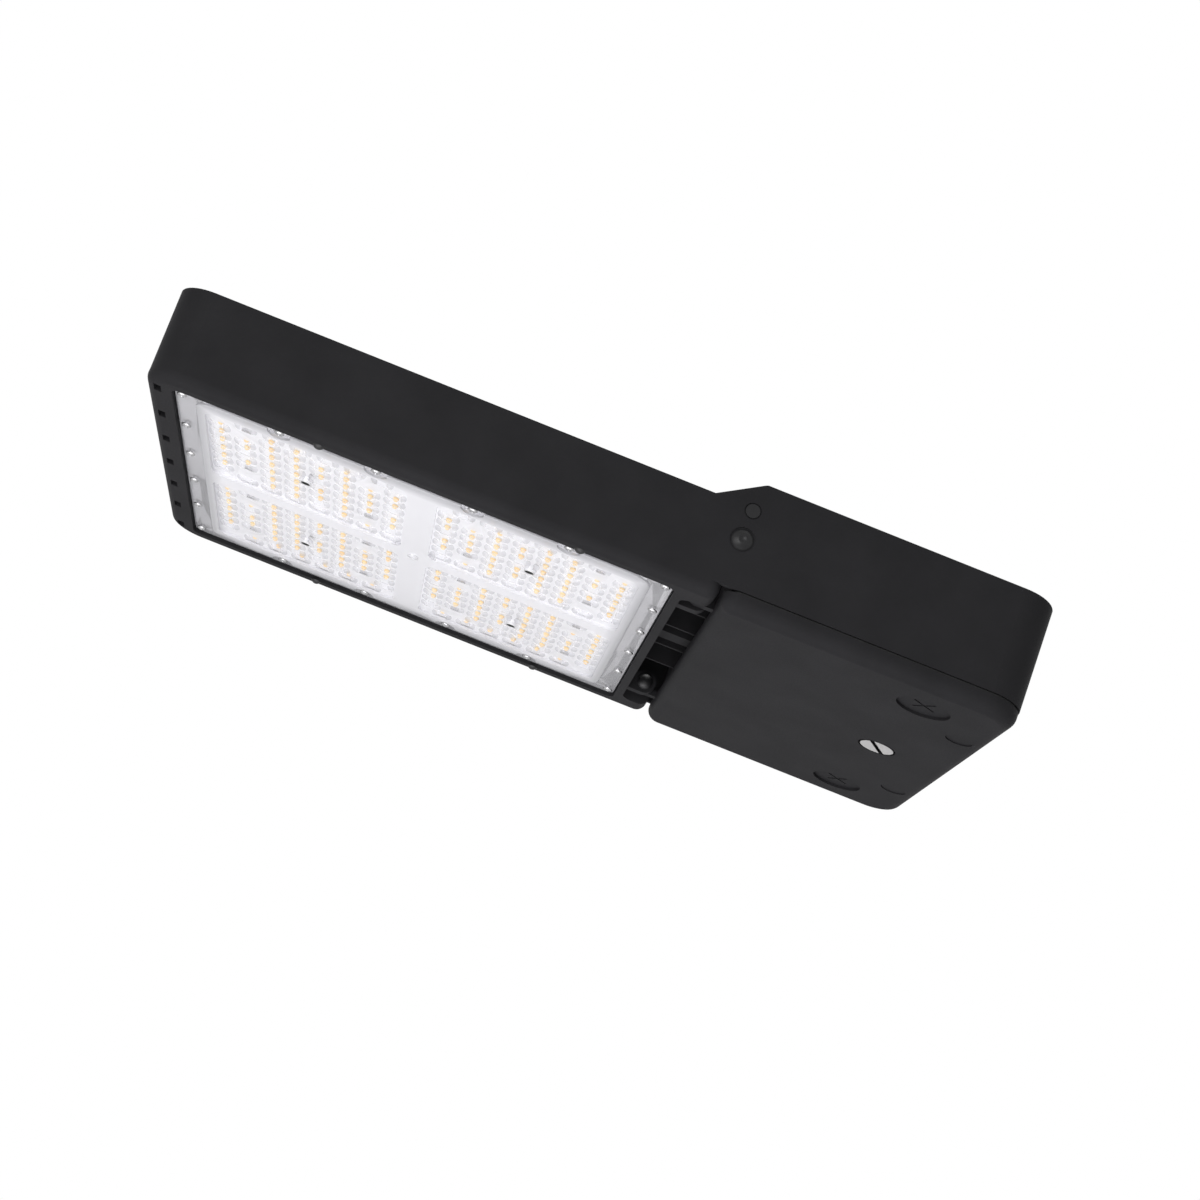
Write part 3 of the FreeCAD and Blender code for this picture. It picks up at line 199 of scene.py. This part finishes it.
def solids_of(name):
    # The middle, lowest and highest corner of each separate solid of a node, in a fixed order.
    shape = merged_copy(name)
    boxes = []
    for group in clusters(shape.verts, lambda v: [e.other_vert(v) for e in v.link_edges]):
        low = Vector([min(v.co[k] for v in group) for k in range(3)])
        high = Vector([max(v.co[k] for v in group) for k in range(3)])
        boxes.append(((low + high) / 2, low, high))
    shape.free()
    return sorted(boxes, key=lambda box: tuple(box[0]))


def low_tops(name):
    # The middle of each flat patch at the lowest level of a node, in a fixed order.
    shape = merged_copy(name)
    level = min(v.co.z for v in shape.verts)
    flat = [f for f in shape.faces if max(v.co.z for v in f.verts) < level + FLAT]
    spots = []
    for group in clusters(flat, lambda f: [n for e in f.edges for n in e.link_faces]):
        xs = [v.co.x for f in group for v in f.verts]
        ys = [v.co.y for f in group for v in f.verts]
        spots.append(Vector(((min(xs) + max(xs)) / 2, (min(ys) + max(ys)) / 2, level)))
    shape.free()
    return sorted(spots, key=tuple)

# %% Round pieces, plates and copies
def turned(outline, steps):
    # A round piece: the outline lists radius and height, from the axis outwards and back to the axis.
    shape = bmesh.new()
    verts = [shape.verts.new((radius, 0, height)) for radius, height in outline]
    edges = [shape.edges.new(pair) for pair in zip(verts, verts[1:])]
    bmesh.ops.spin(shape, geom=verts + edges, axis=(0, 0, 1), cent=(0, 0, 0),
                   angle=math.tau, steps=steps, use_merge=True)
    bmesh.ops.remove_doubles(shape, verts=shape.verts, dist=MERGE)
    return shape


def rounded(shape, edges, offset, segments):
    bmesh.ops.bevel(shape, geom=edges, offset=offset, segments=segments,
                    affect="EDGES", profile=0.5, material=-1)


def plate(low, high, corner, edge):
    # A flat plate with rounded upright corners and a rounded low edge.
    shape = bmesh.new()
    for vert in bmesh.ops.create_cube(shape, size=1.0)["verts"]:
        vert.co = [low[k] if vert.co[k] < 0 else high[k] for k in range(3)]
    upright = [e for e in shape.edges if e.verts[0].co.z != e.verts[1].co.z]
    rounded(shape, upright, corner, 6)
    rim = [e for e in shape.edges if max(v.co.z for v in e.verts) < low[2] + MERGE]
    rounded(shape, rim, edge, 3)
    return shape


def stamped(pattern, places):
    # Copies of one shape at many places.
    mesh = bpy.data.meshes.new("pattern")
    pattern.to_mesh(mesh)
    pattern.free()
    shape = bmesh.new()
    for place in places:
        start = len(shape.verts)
        shape.from_mesh(mesh)
        shape.verts.ensure_lookup_table()
        bmesh.ops.translate(shape, verts=shape.verts[start:], vec=place)
    bpy.data.meshes.remove(mesh)
    return shape

# %% Join shapes
def combined(shape, steps):
    # Boolean steps in order: each is an operation and the shape that it brings.
    helpers = []
    for part in [shape] + [tool for kind, tool in steps]:
        mesh = bpy.data.meshes.new("helper")
        bmesh.ops.recalc_face_normals(part, faces=part.faces)
        part.to_mesh(mesh)
        part.free()
        helpers.append(bpy.data.objects.new("helper", mesh))
        scene.collection.objects.link(helpers[-1])
    for helper, (kind, tool) in zip(helpers[1:], steps):
        step = helpers[0].modifiers.new(kind, "BOOLEAN")
        step.operation = kind
        step.solver = "EXACT"
        step.object = helper
    view = bpy.context.evaluated_depsgraph_get()
    result = bmesh.new()
    result.from_mesh(helpers[0].evaluated_get(view).to_mesh())
    for helper in helpers:
        bpy.data.meshes.remove(helper.data)
    return result

# %% [markdown]
# ## Camera
# The camera stands below the light, beyond its near side, and looks up at it with a roll.
# Its place, turn and lens come from lining up the photo with the screws, edges and corners of the light.

# %% Camera
PICTURE = 1200
FOCAL_PIXELS = 2263.244
SENSOR = 36.0
STAND = (0.304700, 1.518302, -0.493227)
right = Vector((-0.928903, 0.125040, 0.348574))
down = Vector((-0.369817, -0.264017, -0.890803))
ahead = Vector((-0.019357, -0.956379, 0.291488))
turn = Matrix((right, -down, -ahead)).transposed().to_4x4()
eye = bpy.data.cameras.new("photo_camera")
eye.sensor_width = SENSOR
eye.sensor_fit = "HORIZONTAL"
eye.lens = FOCAL_PIXELS / PICTURE * SENSOR
eye.clip_end = 50.0
camera = bpy.data.objects.new("photo_camera", eye)
camera.matrix_world = Matrix.Translation(STAND) @ turn
scene.collection.objects.link(camera)
scene.camera = camera
print("lens", round(eye.lens, 2))

# %% [markdown]
# ## Studio
# A pale floor lies far below. The world lights softly from all sides, and the camera, reflections
# and clear pieces see it as white. Light Path tells these rays apart, so a white background
# puts no extra light on the object.

# %% Floor and world
FLOOR_HALF = 18.0
FLOOR_PLACE = (0.3, 0, -1.3)
FLOOR_GLOW = 0.28
WORLD_LIGHT = 0.25
WHITE = (1, 1, 1, 1)
scene.view_settings.view_transform = "Standard"
mesh = bpy.data.meshes.new("floor")
shape = bmesh.new()
bmesh.ops.create_grid(shape, x_segments=1, y_segments=1, size=FLOOR_HALF)
bmesh.ops.translate(shape, verts=shape.verts, vec=FLOOR_PLACE)
shape.to_mesh(mesh)
shape.free()
floor = bpy.data.objects.new("floor", mesh)
scene.collection.objects.link(floor)


def seen_rays(tree):
    # 1 for the rays that show the background: straight, in a reflection or through a clear piece.
    rays = add_node(tree, "ShaderNodeLightPath")
    seen = rays.outputs["Is Camera Ray"]
    for ray in ("Is Glossy Ray", "Is Transmission Ray"):
        either = add_node(tree, "ShaderNodeMath", operation="MAXIMUM")
        tree.links.new(seen, either.inputs[0])
        tree.links.new(rays.outputs[ray], either.inputs[1])
        seen = either.outputs[0]
    return seen


floor_mat, tree, shader = new_material("pale_floor", (0.9, 0.9, 0.9), 0.7)
shader.inputs["Emission Color"].default_value = WHITE
glow = spread(tree, seen_rays(tree), 0.0, FLOOR_GLOW, 0.0, 1.0)
tree.links.new(glow, shader.inputs["Emission Strength"])
mesh.materials.append(floor_mat)

world = bpy.data.worlds.new("studio")
scene.world = world
world.use_nodes = True
tree = world.node_tree
back = tree.nodes["Background"]
back.inputs["Color"].default_value = WHITE
strength = spread(tree, seen_rays(tree), WORLD_LIGHT, 1.0, 0.0, 1.0)
tree.links.new(strength, back.inputs["Strength"])
print("floor", 2 * FLOOR_HALF, "m wide at", FLOOR_PLACE[2], "m, world light", WORLD_LIGHT)

# %% [markdown]
# Three soft lamps give the faces their different greys: one below for the lens and the door, one beyond
# the near side for the side walls and the rounded edges, and one above for the fins.

# %% Lamps
def lamp(name, place, aim, size, power, color=(1.0, 1.0, 1.0)):
    light = bpy.data.lights.new(name, "AREA")
    light.color = color
    light.shape = "RECTANGLE"
    light.size, light.size_y = size
    light.energy = power
    obj = bpy.data.objects.new(name, light)
    obj.location = place
    obj.rotation_euler = (Vector(aim) - Vector(place)).to_track_quat("-Z", "Y").to_euler()
    scene.collection.objects.link(obj)
    print(name, power, "W")


BODY_MIDDLE = (0.3, 0.0, 0.0)
lamp("under_lamp", (0.42, 0.42, -1.15), (0.38, 0.0, -0.05), (1.4, 0.35), 9.2, (0.985, 0.97, 1.0))
lamp("near_lamp", (1.1, 2.2, -0.1), BODY_MIDDLE, (1.5, 1.0), 25)
lamp("top_lamp", (0.2, -0.6, 1.8), BODY_MIDDLE, (2.0, 2.0), 22)

# %% [markdown]
# ## Black powder coat
# The casting and the door share it: nearly black, matte, with a fine orange-peel skin. The relief could be
# displaced geometry, but it is far finer than a pixel, so a bump is enough. The gloss is kept very low,
# because a black face seen at a flat angle would otherwise turn grey.

# %% Powder coat
coat, tree, shader = finish("black_powder_coat", (0.0215, 0.0213, 0.0228), (0.026, 0.0257, 0.0275),
                            (0.52, 0.6), 1.1 * MM)
shader.inputs["Specular IOR Level"].default_value = 0.03
dress(["housing", "driver_door"], coat)

# %% [markdown]
# ## Lens plate
# One clear moulding: a flat flange under the screws, and a frosted raised middle that is notched around
# the long rows of screws. Four sunk panels in it hold the low clear domes, with a rib behind each panel
# and a boss under each clamp screw. Separate pieces would be simpler, but their skins would lie inside
# each other. So all of it is one closed shape, joined with Booleans, and a ray meets each skin only once.

# %% Lens sizes
FLANGE_THICK = 2.5 * MM
FLANGE_CORNER = 6.0 * MM
MIDDLE_DROP = 1.5 * MM
MIDDLE_IN = Vector((14.0, 7.5)) * MM
MIDDLE_CORNER = 14.0 * MM
MIDDLE_EDGE = 1.2 * MM
FINE_EDGE = 0.3 * MM
OVERLAP = 1.0 * MM
PANEL_DEEP = 2.0 * MM
PANEL_EDGE = 0.6 * MM
PANEL_CORNER = 8.0 * MM
SKIN = 0.7 * MM
CHIP_HIGH = 0.7 * MM
lens_low, lens_high = (Vector(corner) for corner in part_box("lens_plate"))
center = (lens_low + lens_high) / 2
cells = low_tops("lens_plate")
screws = solids_of("lens_screws")
clamps = solids_of("clamp_screws")
boards = [name for name in nodes if name.startswith("led_board")]
board_low = min(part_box(name)[0][2] for name in boards) + CHIP_HIGH
flange_low = lens_high.z - FLANGE_THICK
middle_low = flange_low - MIDDLE_DROP
panel_low = middle_low + PANEL_DEEP
print("lens cells", len(cells), "screws", len(screws), "clamp screws", len(clamps))

# %% Lens dome
DOME_HALF = (8.0 * MM, 7.3 * MM)
DOME_RISE = 1.2 * MM
DOME_SAG = 0.6
DOME_TAPER = 0.2
SINK = 0.3 * MM


def lens_dome():
    # A low dome on a small grid. It falls steeply at its ends along X, and short walls close its sides.
    shape = bmesh.new()
    bmesh.ops.create_grid(shape, x_segments=6, y_segments=4, size=1.0)
    for vert in shape.verts:
        u, v = vert.co.x, vert.co.y
        swell = (1.0 - abs(u) ** 3) * (1.0 - DOME_SAG * v * v)
        half = (1.0 - DOME_TAPER * v * v) * DOME_HALF[0]
        vert.co = (u * half, v * DOME_HALF[1], -DOME_RISE * swell)
    rim = [e for e in shape.edges if e.is_boundary]
    walls = bmesh.ops.extrude_edge_only(shape, edges=rim)["geom"]
    for vert in [item for item in walls if isinstance(item, bmesh.types.BMVert)]:
        vert.co.z = SINK
    bmesh.ops.edgenet_fill(shape, edges=[e for e in shape.edges if e.is_boundary])
    return shape


dome = lens_dome()
print("dome", len(dome.faces), "faces")

# %% Flange and raised middle
NOTCH_RADIUS = 8.0 * MM
NOTCH_ENDS = (-2.0 * MM, 4.0 * MM)
LONG_ROW_REACH = 0.15
ROUND_STEPS = 24
flange = plate((lens_low.x, lens_low.y, flange_low), lens_high, FLANGE_CORNER, FINE_EDGE)
inner_low = lens_low.xy + MIDDLE_IN
inner_high = lens_high.xy - MIDDLE_IN
middle = plate((*inner_low, middle_low), (*inner_high, flange_low + OVERLAP), MIDDLE_CORNER, MIDDLE_EDGE)
long_rows = [spot for spot, low, high in screws if abs(spot.x - center.x) < LONG_ROW_REACH]
notch = turned([(0.0, NOTCH_ENDS[0]), (NOTCH_RADIUS, NOTCH_ENDS[0]),
                (NOTCH_RADIUS, NOTCH_ENDS[1]), (0.0, NOTCH_ENDS[1])], ROUND_STEPS)
notches = stamped(notch, [(spot.x, spot.y, middle_low) for spot in long_rows])
steps = [("DIFFERENCE", notches), ("UNION", flange)]
print("notches", len(long_rows))

# %% Sunk panels with ribs behind them
RIB = 1.2 * MM
RIB_GAP = 0.1 * MM
cell_reach = Vector((DOME_HALF[0] + PANEL_EDGE, DOME_HALF[1] + PANEL_EDGE))


def field(spots, margin):
    # Two corners of the box around some cells, seen from below.
    low = Vector((min(s.x for s in spots), min(s.y for s in spots))) - margin
    high = Vector((max(s.x for s in spots), max(s.y for s in spots))) + margin
    return low, high


def block(low, high, bottom, top, inset=0.0):
    # A rounded block over one panel, from one level to another.
    return plate((low.x + inset, low.y + inset, bottom), (high.x - inset, high.y - inset, top),
                 PANEL_CORNER - inset, FINE_EDGE)


for side in (1, -1):
    for end in (1, -1):
        quarter = [s for s in cells if (s.x - center.x) * end > 0 and (s.y - center.y) * side > 0]
        low, high = field(quarter, cell_reach)
        panel = block(low, high, middle_low - OVERLAP, panel_low)
        rib = block(low, high, flange_low + OVERLAP, board_low - RIB_GAP)
        room = block(low, high, panel_low + SKIN, board_low + OVERLAP, RIB)
        steps += [("DIFFERENCE", panel), ("UNION", rib), ("DIFFERENCE", room)]
        print("panel", [round(size / MM, 1) for size in high - low], "mm,", len(quarter), "cells")

# %% Bosses, domes and the joined lens
BOSS_RADIUS = 5.0 * MM
BOSS_TAPER = 0.4 * MM
QUARTER_REACH = 30.0 * MM
quarter_clamps = [spot for spot, low, high in clamps if (spot - center).xy.length > QUARTER_REACH]
boss_top = PANEL_DEEP + SINK
boss = turned([(0.0, 0.0), (BOSS_RADIUS, 0.0), (BOSS_RADIUS + BOSS_TAPER, boss_top), (0.0, boss_top)],
              ROUND_STEPS)
bosses = stamped(boss, [(spot.x, spot.y, middle_low) for spot in quarter_clamps])
domes = stamped(dome, [(spot.x, spot.y, panel_low) for spot in cells])
shape = combined(middle, steps + [("UNION", bosses), ("UNION", domes)])
print("lens faces", len(shape.faces))

# %% [markdown]
# The faces get one of four finishes: the clear flange, the frosted middle, the domes, and the inner side
# behind the domes. An attribute named shade marks the steep ends of the domes, which bend the view away
# from the white board; their grey is painted shade, standing in for that bending of the view.

# %% Lens faces
FLANGE, FROSTED, DOME, INNER = range(4)
WING_START = 0.3
WING_RUN = 0.35
CLOSE = 0.01 * MM
FLANGE_ROOM = 0.05 * MM
SIDE_ROOM = 1.01
LEVEL_ENOUGH = 0.3
cell_map = KDTree(len(cells))
for n, spot in enumerate(cells):
    cell_map.insert((spot.x, spot.y, 0), n)
cell_map.balance()
# Painted shade: each vertex gets a grey share that grows towards the steep ends of its dome.
shade = shape.verts.layers.float.new("shade")
for vert in shape.verts:
    spot = cell_map.find((vert.co.x, vert.co.y, 0))[0]
    along = abs(vert.co.x - spot.x) / DOME_HALF[0]
    across = min(abs(vert.co.y - spot.y) / DOME_HALF[1], 1.0)
    vert[shade] = max(0.0, min((along - WING_START) / WING_RUN, 1.0)) * (1.0 - across ** 3)


def skin_of(face):
    spot = face.calc_center_median()
    cell = cell_map.find((spot.x, spot.y, 0))[0]
    in_cell = abs(spot.x - cell.x) < DOME_HALF[0] and abs(spot.y - cell.y) < SIDE_ROOM * DOME_HALF[1]
    if in_cell and panel_low - DOME_RISE < spot.z < panel_low - CLOSE:
        return DOME
    if abs(face.normal.z) > LEVEL_ENOUGH and abs(spot.z - panel_low - SKIN) < SKIN / 2:
        return INNER
    if in_cell or abs(spot.z - panel_low) < CLOSE:
        return FROSTED
    if spot.z < flange_low - FLANGE_ROOM or spot.z > lens_high.z:
        return FROSTED
    return FLANGE


for face in shape.faces:
    face.material_index = skin_of(face)
skins = [face.material_index for face in shape.faces]
print("flange, frosted, dome and inner faces", [skins.count(k) for k in range(4)])

# %% Lens skins
HAZE_SCALE = 60.0
HAZE_DETAIL = 3.0
GLOSS = (0.1, 0.18)


def lens_skin(name, color, alpha):
    mat, tree, shader = new_material(name, color, GLOSS[0])
    shader.inputs["Alpha"].default_value = alpha
    haze = noise(tree, HAZE_SCALE, HAZE_DETAIL)
    tree.links.new(spread(tree, haze, *GLOSS), shader.inputs["Roughness"])
    return mat, tree, shader


DOME_PALE = (0.93, 0.93, 0.96)
DOME_PAINTED_SHADE = (0.68, 0.68, 0.715)
DOME_ALPHA = (0.25, 0.75)
flange_skin = lens_skin("flange_lens", (0.56, 0.56, 0.575), 0.5)[0]
inner_skin = lens_skin("clear_lens", (0.9, 0.9, 0.92), 0.04)[0]
dome_skin, tree, shader = lens_skin("domed_lens", DOME_PALE, DOME_ALPHA[0])
# Painted shade: the dome ends turn grey and less clear where the shade attribute is high.
ends = add_node(tree, "ShaderNodeAttribute", attribute_name="shade").outputs["Fac"]
tree.links.new(spread(tree, ends, *DOME_ALPHA, 0.1, 0.9), shader.inputs["Alpha"])
tree.links.new(ramp(tree, ends, DOME_PALE, DOME_PAINTED_SHADE, 0.1, 0.95), shader.inputs["Base Color"])
print(flange_skin.name, inner_skin.name, dome_skin.name)

# %% [markdown]
# The frosting is white over the panels and is painted grey towards the rim: painted shade standing in for the
# dark casting seen through the clear moulding there. This grey could be drawn in an image, but it only
# depends on how far a point lies outside the panels, so a few math nodes on the Object coordinates do it.

# %% Frosted skin and the finished lens
FROST_WHITE = (0.935, 0.935, 0.965)
FROST_PAINTED_SHADE = (0.54, 0.54, 0.565)
FROST_SCALE = 900.0
FADE = (-7.0 * MM, 5.0 * MM)
LONG_SIDE = Vector((0.0, 4.0)) * MM


def outside(tree, low, high):
    # How far a point lies outside a box, seen from below, in metres.
    place = add_node(tree, "ShaderNodeTexCoord")
    offset = place.outputs["Object"]
    middle = ((low + high) / 2).to_3d()
    half = ((high - low) / 2).to_3d()
    for kind, value in (("SUBTRACT", middle), ("ABSOLUTE", Vector()), ("SUBTRACT", half)):
        step = add_node(tree, "ShaderNodeVectorMath", operation=kind)
        tree.links.new(offset, step.inputs[0])
        step.inputs[1].default_value = value
        offset = step.outputs["Vector"]
    split = add_node(tree, "ShaderNodeSeparateXYZ")
    larger = add_node(tree, "ShaderNodeMath", operation="MAXIMUM")
    tree.links.new(offset, split.inputs["Vector"])
    tree.links.new(split.outputs["X"], larger.inputs[0])
    tree.links.new(split.outputs["Y"], larger.inputs[1])
    return larger.outputs[0]


frosted_skin, tree, shader = lens_skin("frosted_lens", FROST_WHITE, 0.88)
bumps(tree, shader, noise(tree, FROST_SCALE), 0.1, 0.2 * MM)
# Painted shade: the frosting turns grey outside the panels, for the dark casting seen through the rim.
fade = spread(tree, outside(tree, *field(cells, cell_reach + LONG_SIDE)), 0.0, 1.0, *FADE)
tree.links.new(ramp(tree, fade, FROST_WHITE, FROST_PAINTED_SHADE, 0.0, 1.0), shader.inputs["Base Color"])
lens = add_piece("moulded_lens", shape, "fixture", flange_skin, 30.0)
for skin in (frosted_skin, dome_skin, inner_skin):
    lens.data.materials.append(skin)
# Light passes the clear moulding, so it puts no shadow on the boards behind it.
lens.visible_shadow = False
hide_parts("lens_plate")

# %% [markdown]
# ## LED boards
# White solder mask, and over each chip a small bead of silicone with yellow phosphor. A bead could be a
# sphere, but it is repeated hundreds of times, so it is turned from five points in eight steps.

# %% LED boards
BEAD = [(0.0, -2.5), (1.3, -2.1), (2.1, -0.9), (2.1, 0.1), (0.0, 0.1)]
BEAD_STEPS = 8
mask = finish("white_solder_mask", (0.84, 0.845, 0.86), (0.88, 0.885, 0.895), (0.4, 0.55), 0.8 * MM)[0]
dress(boards, mask)
chips = [spot for name in boards for spot in low_tops(name)]
bead = turned([(radius * MM, height * MM) for radius, height in BEAD], BEAD_STEPS)
phosphor = finish("led_phosphor", (1.0, 0.62, 0.18), (1.0, 0.73, 0.3), (0.35, 0.5), 0.3 * MM)[0]
add_piece("led_phosphor_domes", stamped(bead, chips), "fixture", phosphor, 60.0)
print("LEDs", len(chips))

# %% [markdown]
# ## Screws
# Zinc-plated pan heads hold the lens. Each is turned as a low dome, and its inner ring is drawn
# into the outline of a cross recess, which takes no Boolean.

# %% Lens screws
PAN_RADIUS = 3.4 * MM
PAN_RISE = 1.6 * MM
SHANK_RADIUS = 1.6 * MM
PAN_STEPS = 12
RECESS_RING = 0.35
RECESS_ARM = 0.42
RECESS_HALF = 0.13
RECESS_FLOOR = 0.55


def pan_screw(radius, rise, shank, length):
    # The head is listed in shares of its radius and its rise.
    head = [(0.0, RECESS_FLOOR), (RECESS_RING, RECESS_FLOOR), (0.5, 1.0), (0.8, 0.8), (1.0, 0.3), (1.0, 0.0)]
    outline = [(out * radius, -up * rise) for out, up in head]
    shape = turned(outline + [(shank, 0.0), (shank, length), (0.0, length)], PAN_STEPS)
    ring = [v for v in shape.verts if abs(v.co.xy.length - RECESS_RING * radius) < 0.01 * radius]
    for vert in ring:
        angle = math.atan2(vert.co.y, vert.co.x)
        quarter = round(angle / (math.pi / 2))
        side = round((angle - quarter * math.pi / 2) / (math.tau / PAN_STEPS))
        corner = Vector((RECESS_ARM * radius, side * RECESS_HALF * radius))
        vert.co.xy = Matrix.Rotation(quarter * math.pi / 2, 2) @ corner
    return shape


zinc = finish("zinc_plate", (0.5, 0.5, 0.51), (0.62, 0.62, 0.63), (0.2, 0.32), 0.6 * MM, 1.0, 0.05)[0]
shank_top = screws[0][2].z
screw = pan_screw(PAN_RADIUS, PAN_RISE, SHANK_RADIUS, shank_top - flange_low)
shape = stamped(screw, [(spot.x, spot.y, flange_low) for spot, low, high in screws])
heads = add_piece("lens_screw_heads", shape, "fixture", zinc, 40.0)
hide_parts("lens_screws")
dress(["board_screws", "driver_screws", "device_screws", "latch_cam", "latch_nut", "latch_clip"], zinc)

# %% [markdown]
# The clamp screws in the middle of each quarter have a wide drive recess, painted near black as shade. From a
# low angle only its far wall shows, as a thin black crescent. An attribute named recess marks it, so one
# finish serves the pale head and the painted shade in the recess.

# %% Clamp screws
RECESS_BOTTOM = 3.2 * MM
RECESS_MOUTH = 3.4 * MM
HEAD_FACE = 3.6 * MM
HEAD_RADIUS = 3.9 * MM
CLAMP_STEPS = 16
CLAMP_PALE = (0.83, 0.83, 0.85)
CLAMP_PAINTED_SHADE = (0.01, 0.01, 0.01)
head_low = clamps[0][1].z
head_high = middle_low - head_low
clamp_high = clamps[0][2].z - head_low
recess_high = 0.8 * head_high
clamp = turned([(0.0, recess_high), (RECESS_BOTTOM, recess_high), (RECESS_MOUTH, 0.0), (HEAD_FACE, 0.0),
                (HEAD_RADIUS, 0.3 * head_high), (HEAD_RADIUS, head_high), (SHANK_RADIUS, head_high),
                (SHANK_RADIUS, clamp_high), (0.0, clamp_high)], CLAMP_STEPS)
shape = stamped(clamp, [(spot.x, spot.y, head_low) for spot, low, high in clamps])
recess = shape.verts.layers.float.new("recess")
for vert in shape.verts:
    out = min((vert.co.xy - spot.xy).length for spot in quarter_clamps)
    sunk = head_low + 0.1 * MM < vert.co.z < middle_low
    vert[recess] = 1.0 if sunk and out < (RECESS_BOTTOM + RECESS_MOUTH) / 2 else 0.0
clamp_plate, tree, shader = grained("clamp_plate", CLAMP_PALE, (0.3, 0.4), 0.6 * MM, 0.2, 0.05)
recess_shade = add_node(tree, "ShaderNodeAttribute", attribute_name="recess").outputs["Fac"]
# Painted shade: faces marked as recess turn near black.
tree.links.new(ramp(tree, recess_shade, CLAMP_PALE, CLAMP_PAINTED_SHADE, 0.1, 0.6), shader.inputs["Base Color"])
clamp_heads = add_piece("clamp_screw_heads", shape, "fixture", clamp_plate, 40.0)
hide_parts("clamp_screws")

# %% [markdown]
# The latch is a slotted steel disc, flush with the door. Its slot and its side are painted dark as shade, so
# the colour follows the height above the face of the disc. The shape is the CAD node's own.

# %% Latch disc
LATCH_PALE = (0.7, 0.69, 0.69)
LATCH_PAINTED_SHADE = (0.02, 0.02, 0.02)
SLOT_SHADE = (0.1 * MM, 0.4 * MM)
latch_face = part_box("latch_stud")[0][2]
steel, tree, shader = grained("latch_steel", LATCH_PALE, (0.38, 0.5), 0.5 * MM, 1.0, 0.05)
place = add_node(tree, "ShaderNodeTexCoord")
split = add_node(tree, "ShaderNodeSeparateXYZ")
tree.links.new(place.outputs["Object"], split.inputs["Vector"])
shade_from, shade_to = (latch_face + level for level in SLOT_SHADE)
height = spread(tree, split.outputs["Z"], 0.0, 1.0, shade_from, shade_to)
# Painted shade: the slot and the side of the disc turn dark with their height above its face.
tree.links.new(ramp(tree, height, LATCH_PALE, LATCH_PAINTED_SHADE, 0.2, 0.8), shader.inputs["Base Color"])
dress(["latch_stud"], steel)

# %% [markdown]
# ## Dark fasteners, seals and plugs
# Their shapes come from the CAD model, and each only needs its own black or grey: oiled steel, soft
# rubber, pale silicone under the lens, and a slightly glossy plastic for the plugs in the side wall.

# %% Dark fasteners, seals and plugs
black_steel = finish("black_steel", (0.008, 0.008, 0.009), (0.013, 0.013, 0.014), (0.42, 0.54), 0.5 * MM)[0]
dress(["rim_screws", "hinge_pin_near", "hinge_pin_far"], black_steel)
rubber = finish("black_rubber", (0.01, 0.01, 0.01), (0.017, 0.017, 0.018), (0.7, 0.85), 0.9 * MM)[0]
dress(["door_gasket", "wire_grommet"], rubber)
silicone = finish("grey_silicone", (0.52, 0.52, 0.53), (0.6, 0.6, 0.61), (0.55, 0.7), 1.2 * MM)[0]
dress(["lens_gasket"], silicone)
plug, tree, shader = finish("black_plug", (0.014, 0.014, 0.015), (0.021, 0.021, 0.022), (0.3, 0.42), 0.7 * MM)
shader.inputs["Specular IOR Level"].default_value = 0.2
dress(["side_plug_large", "side_plug_small"], plug)

# %% [markdown]
# ## Parts inside the driver box
# They show when the door is open: the driver in a brushed case, dark and pale mouldings, two leads in
# coloured sleeves and a green ground screw. Stretching the grain along one axis makes the brushed look.

# %% Parts inside the driver box
BRUSHED = (1.0, 0.05, 1.0)
case = finish("brushed_aluminium", (0.6, 0.6, 0.61), (0.72, 0.72, 0.73), (0.3, 0.5), 0.5 * MM,
              1.0, 0.08, BRUSHED)[0]
dress(["led_driver"], case)
dark = finish("dark_moulding", (0.03, 0.03, 0.032), (0.045, 0.045, 0.048), (0.45, 0.6), 0.8 * MM)[0]
dress(["surge_protector"], dark)
pale = finish("pale_moulding", (0.68, 0.68, 0.66), (0.78, 0.78, 0.76), (0.4, 0.55), 0.7 * MM)[0]
dress(["terminal_block", "lead_joint"], pale)
red = finish("red_sleeve", (0.4, 0.02, 0.018), (0.5, 0.035, 0.03), (0.38, 0.5), 0.6 * MM)[0]
dress(["led_lead_red"], red)
black = finish("black_sleeve", (0.015, 0.015, 0.015), (0.025, 0.025, 0.025), (0.38, 0.5), 0.6 * MM)[0]
dress(["led_lead_black"], black)
green = finish("green_ground_screw", (0.05, 0.22, 0.08), (0.08, 0.3, 0.11), (0.3, 0.42), 0.5 * MM, 0.7)[0]
dress(["ground_screw"], green)
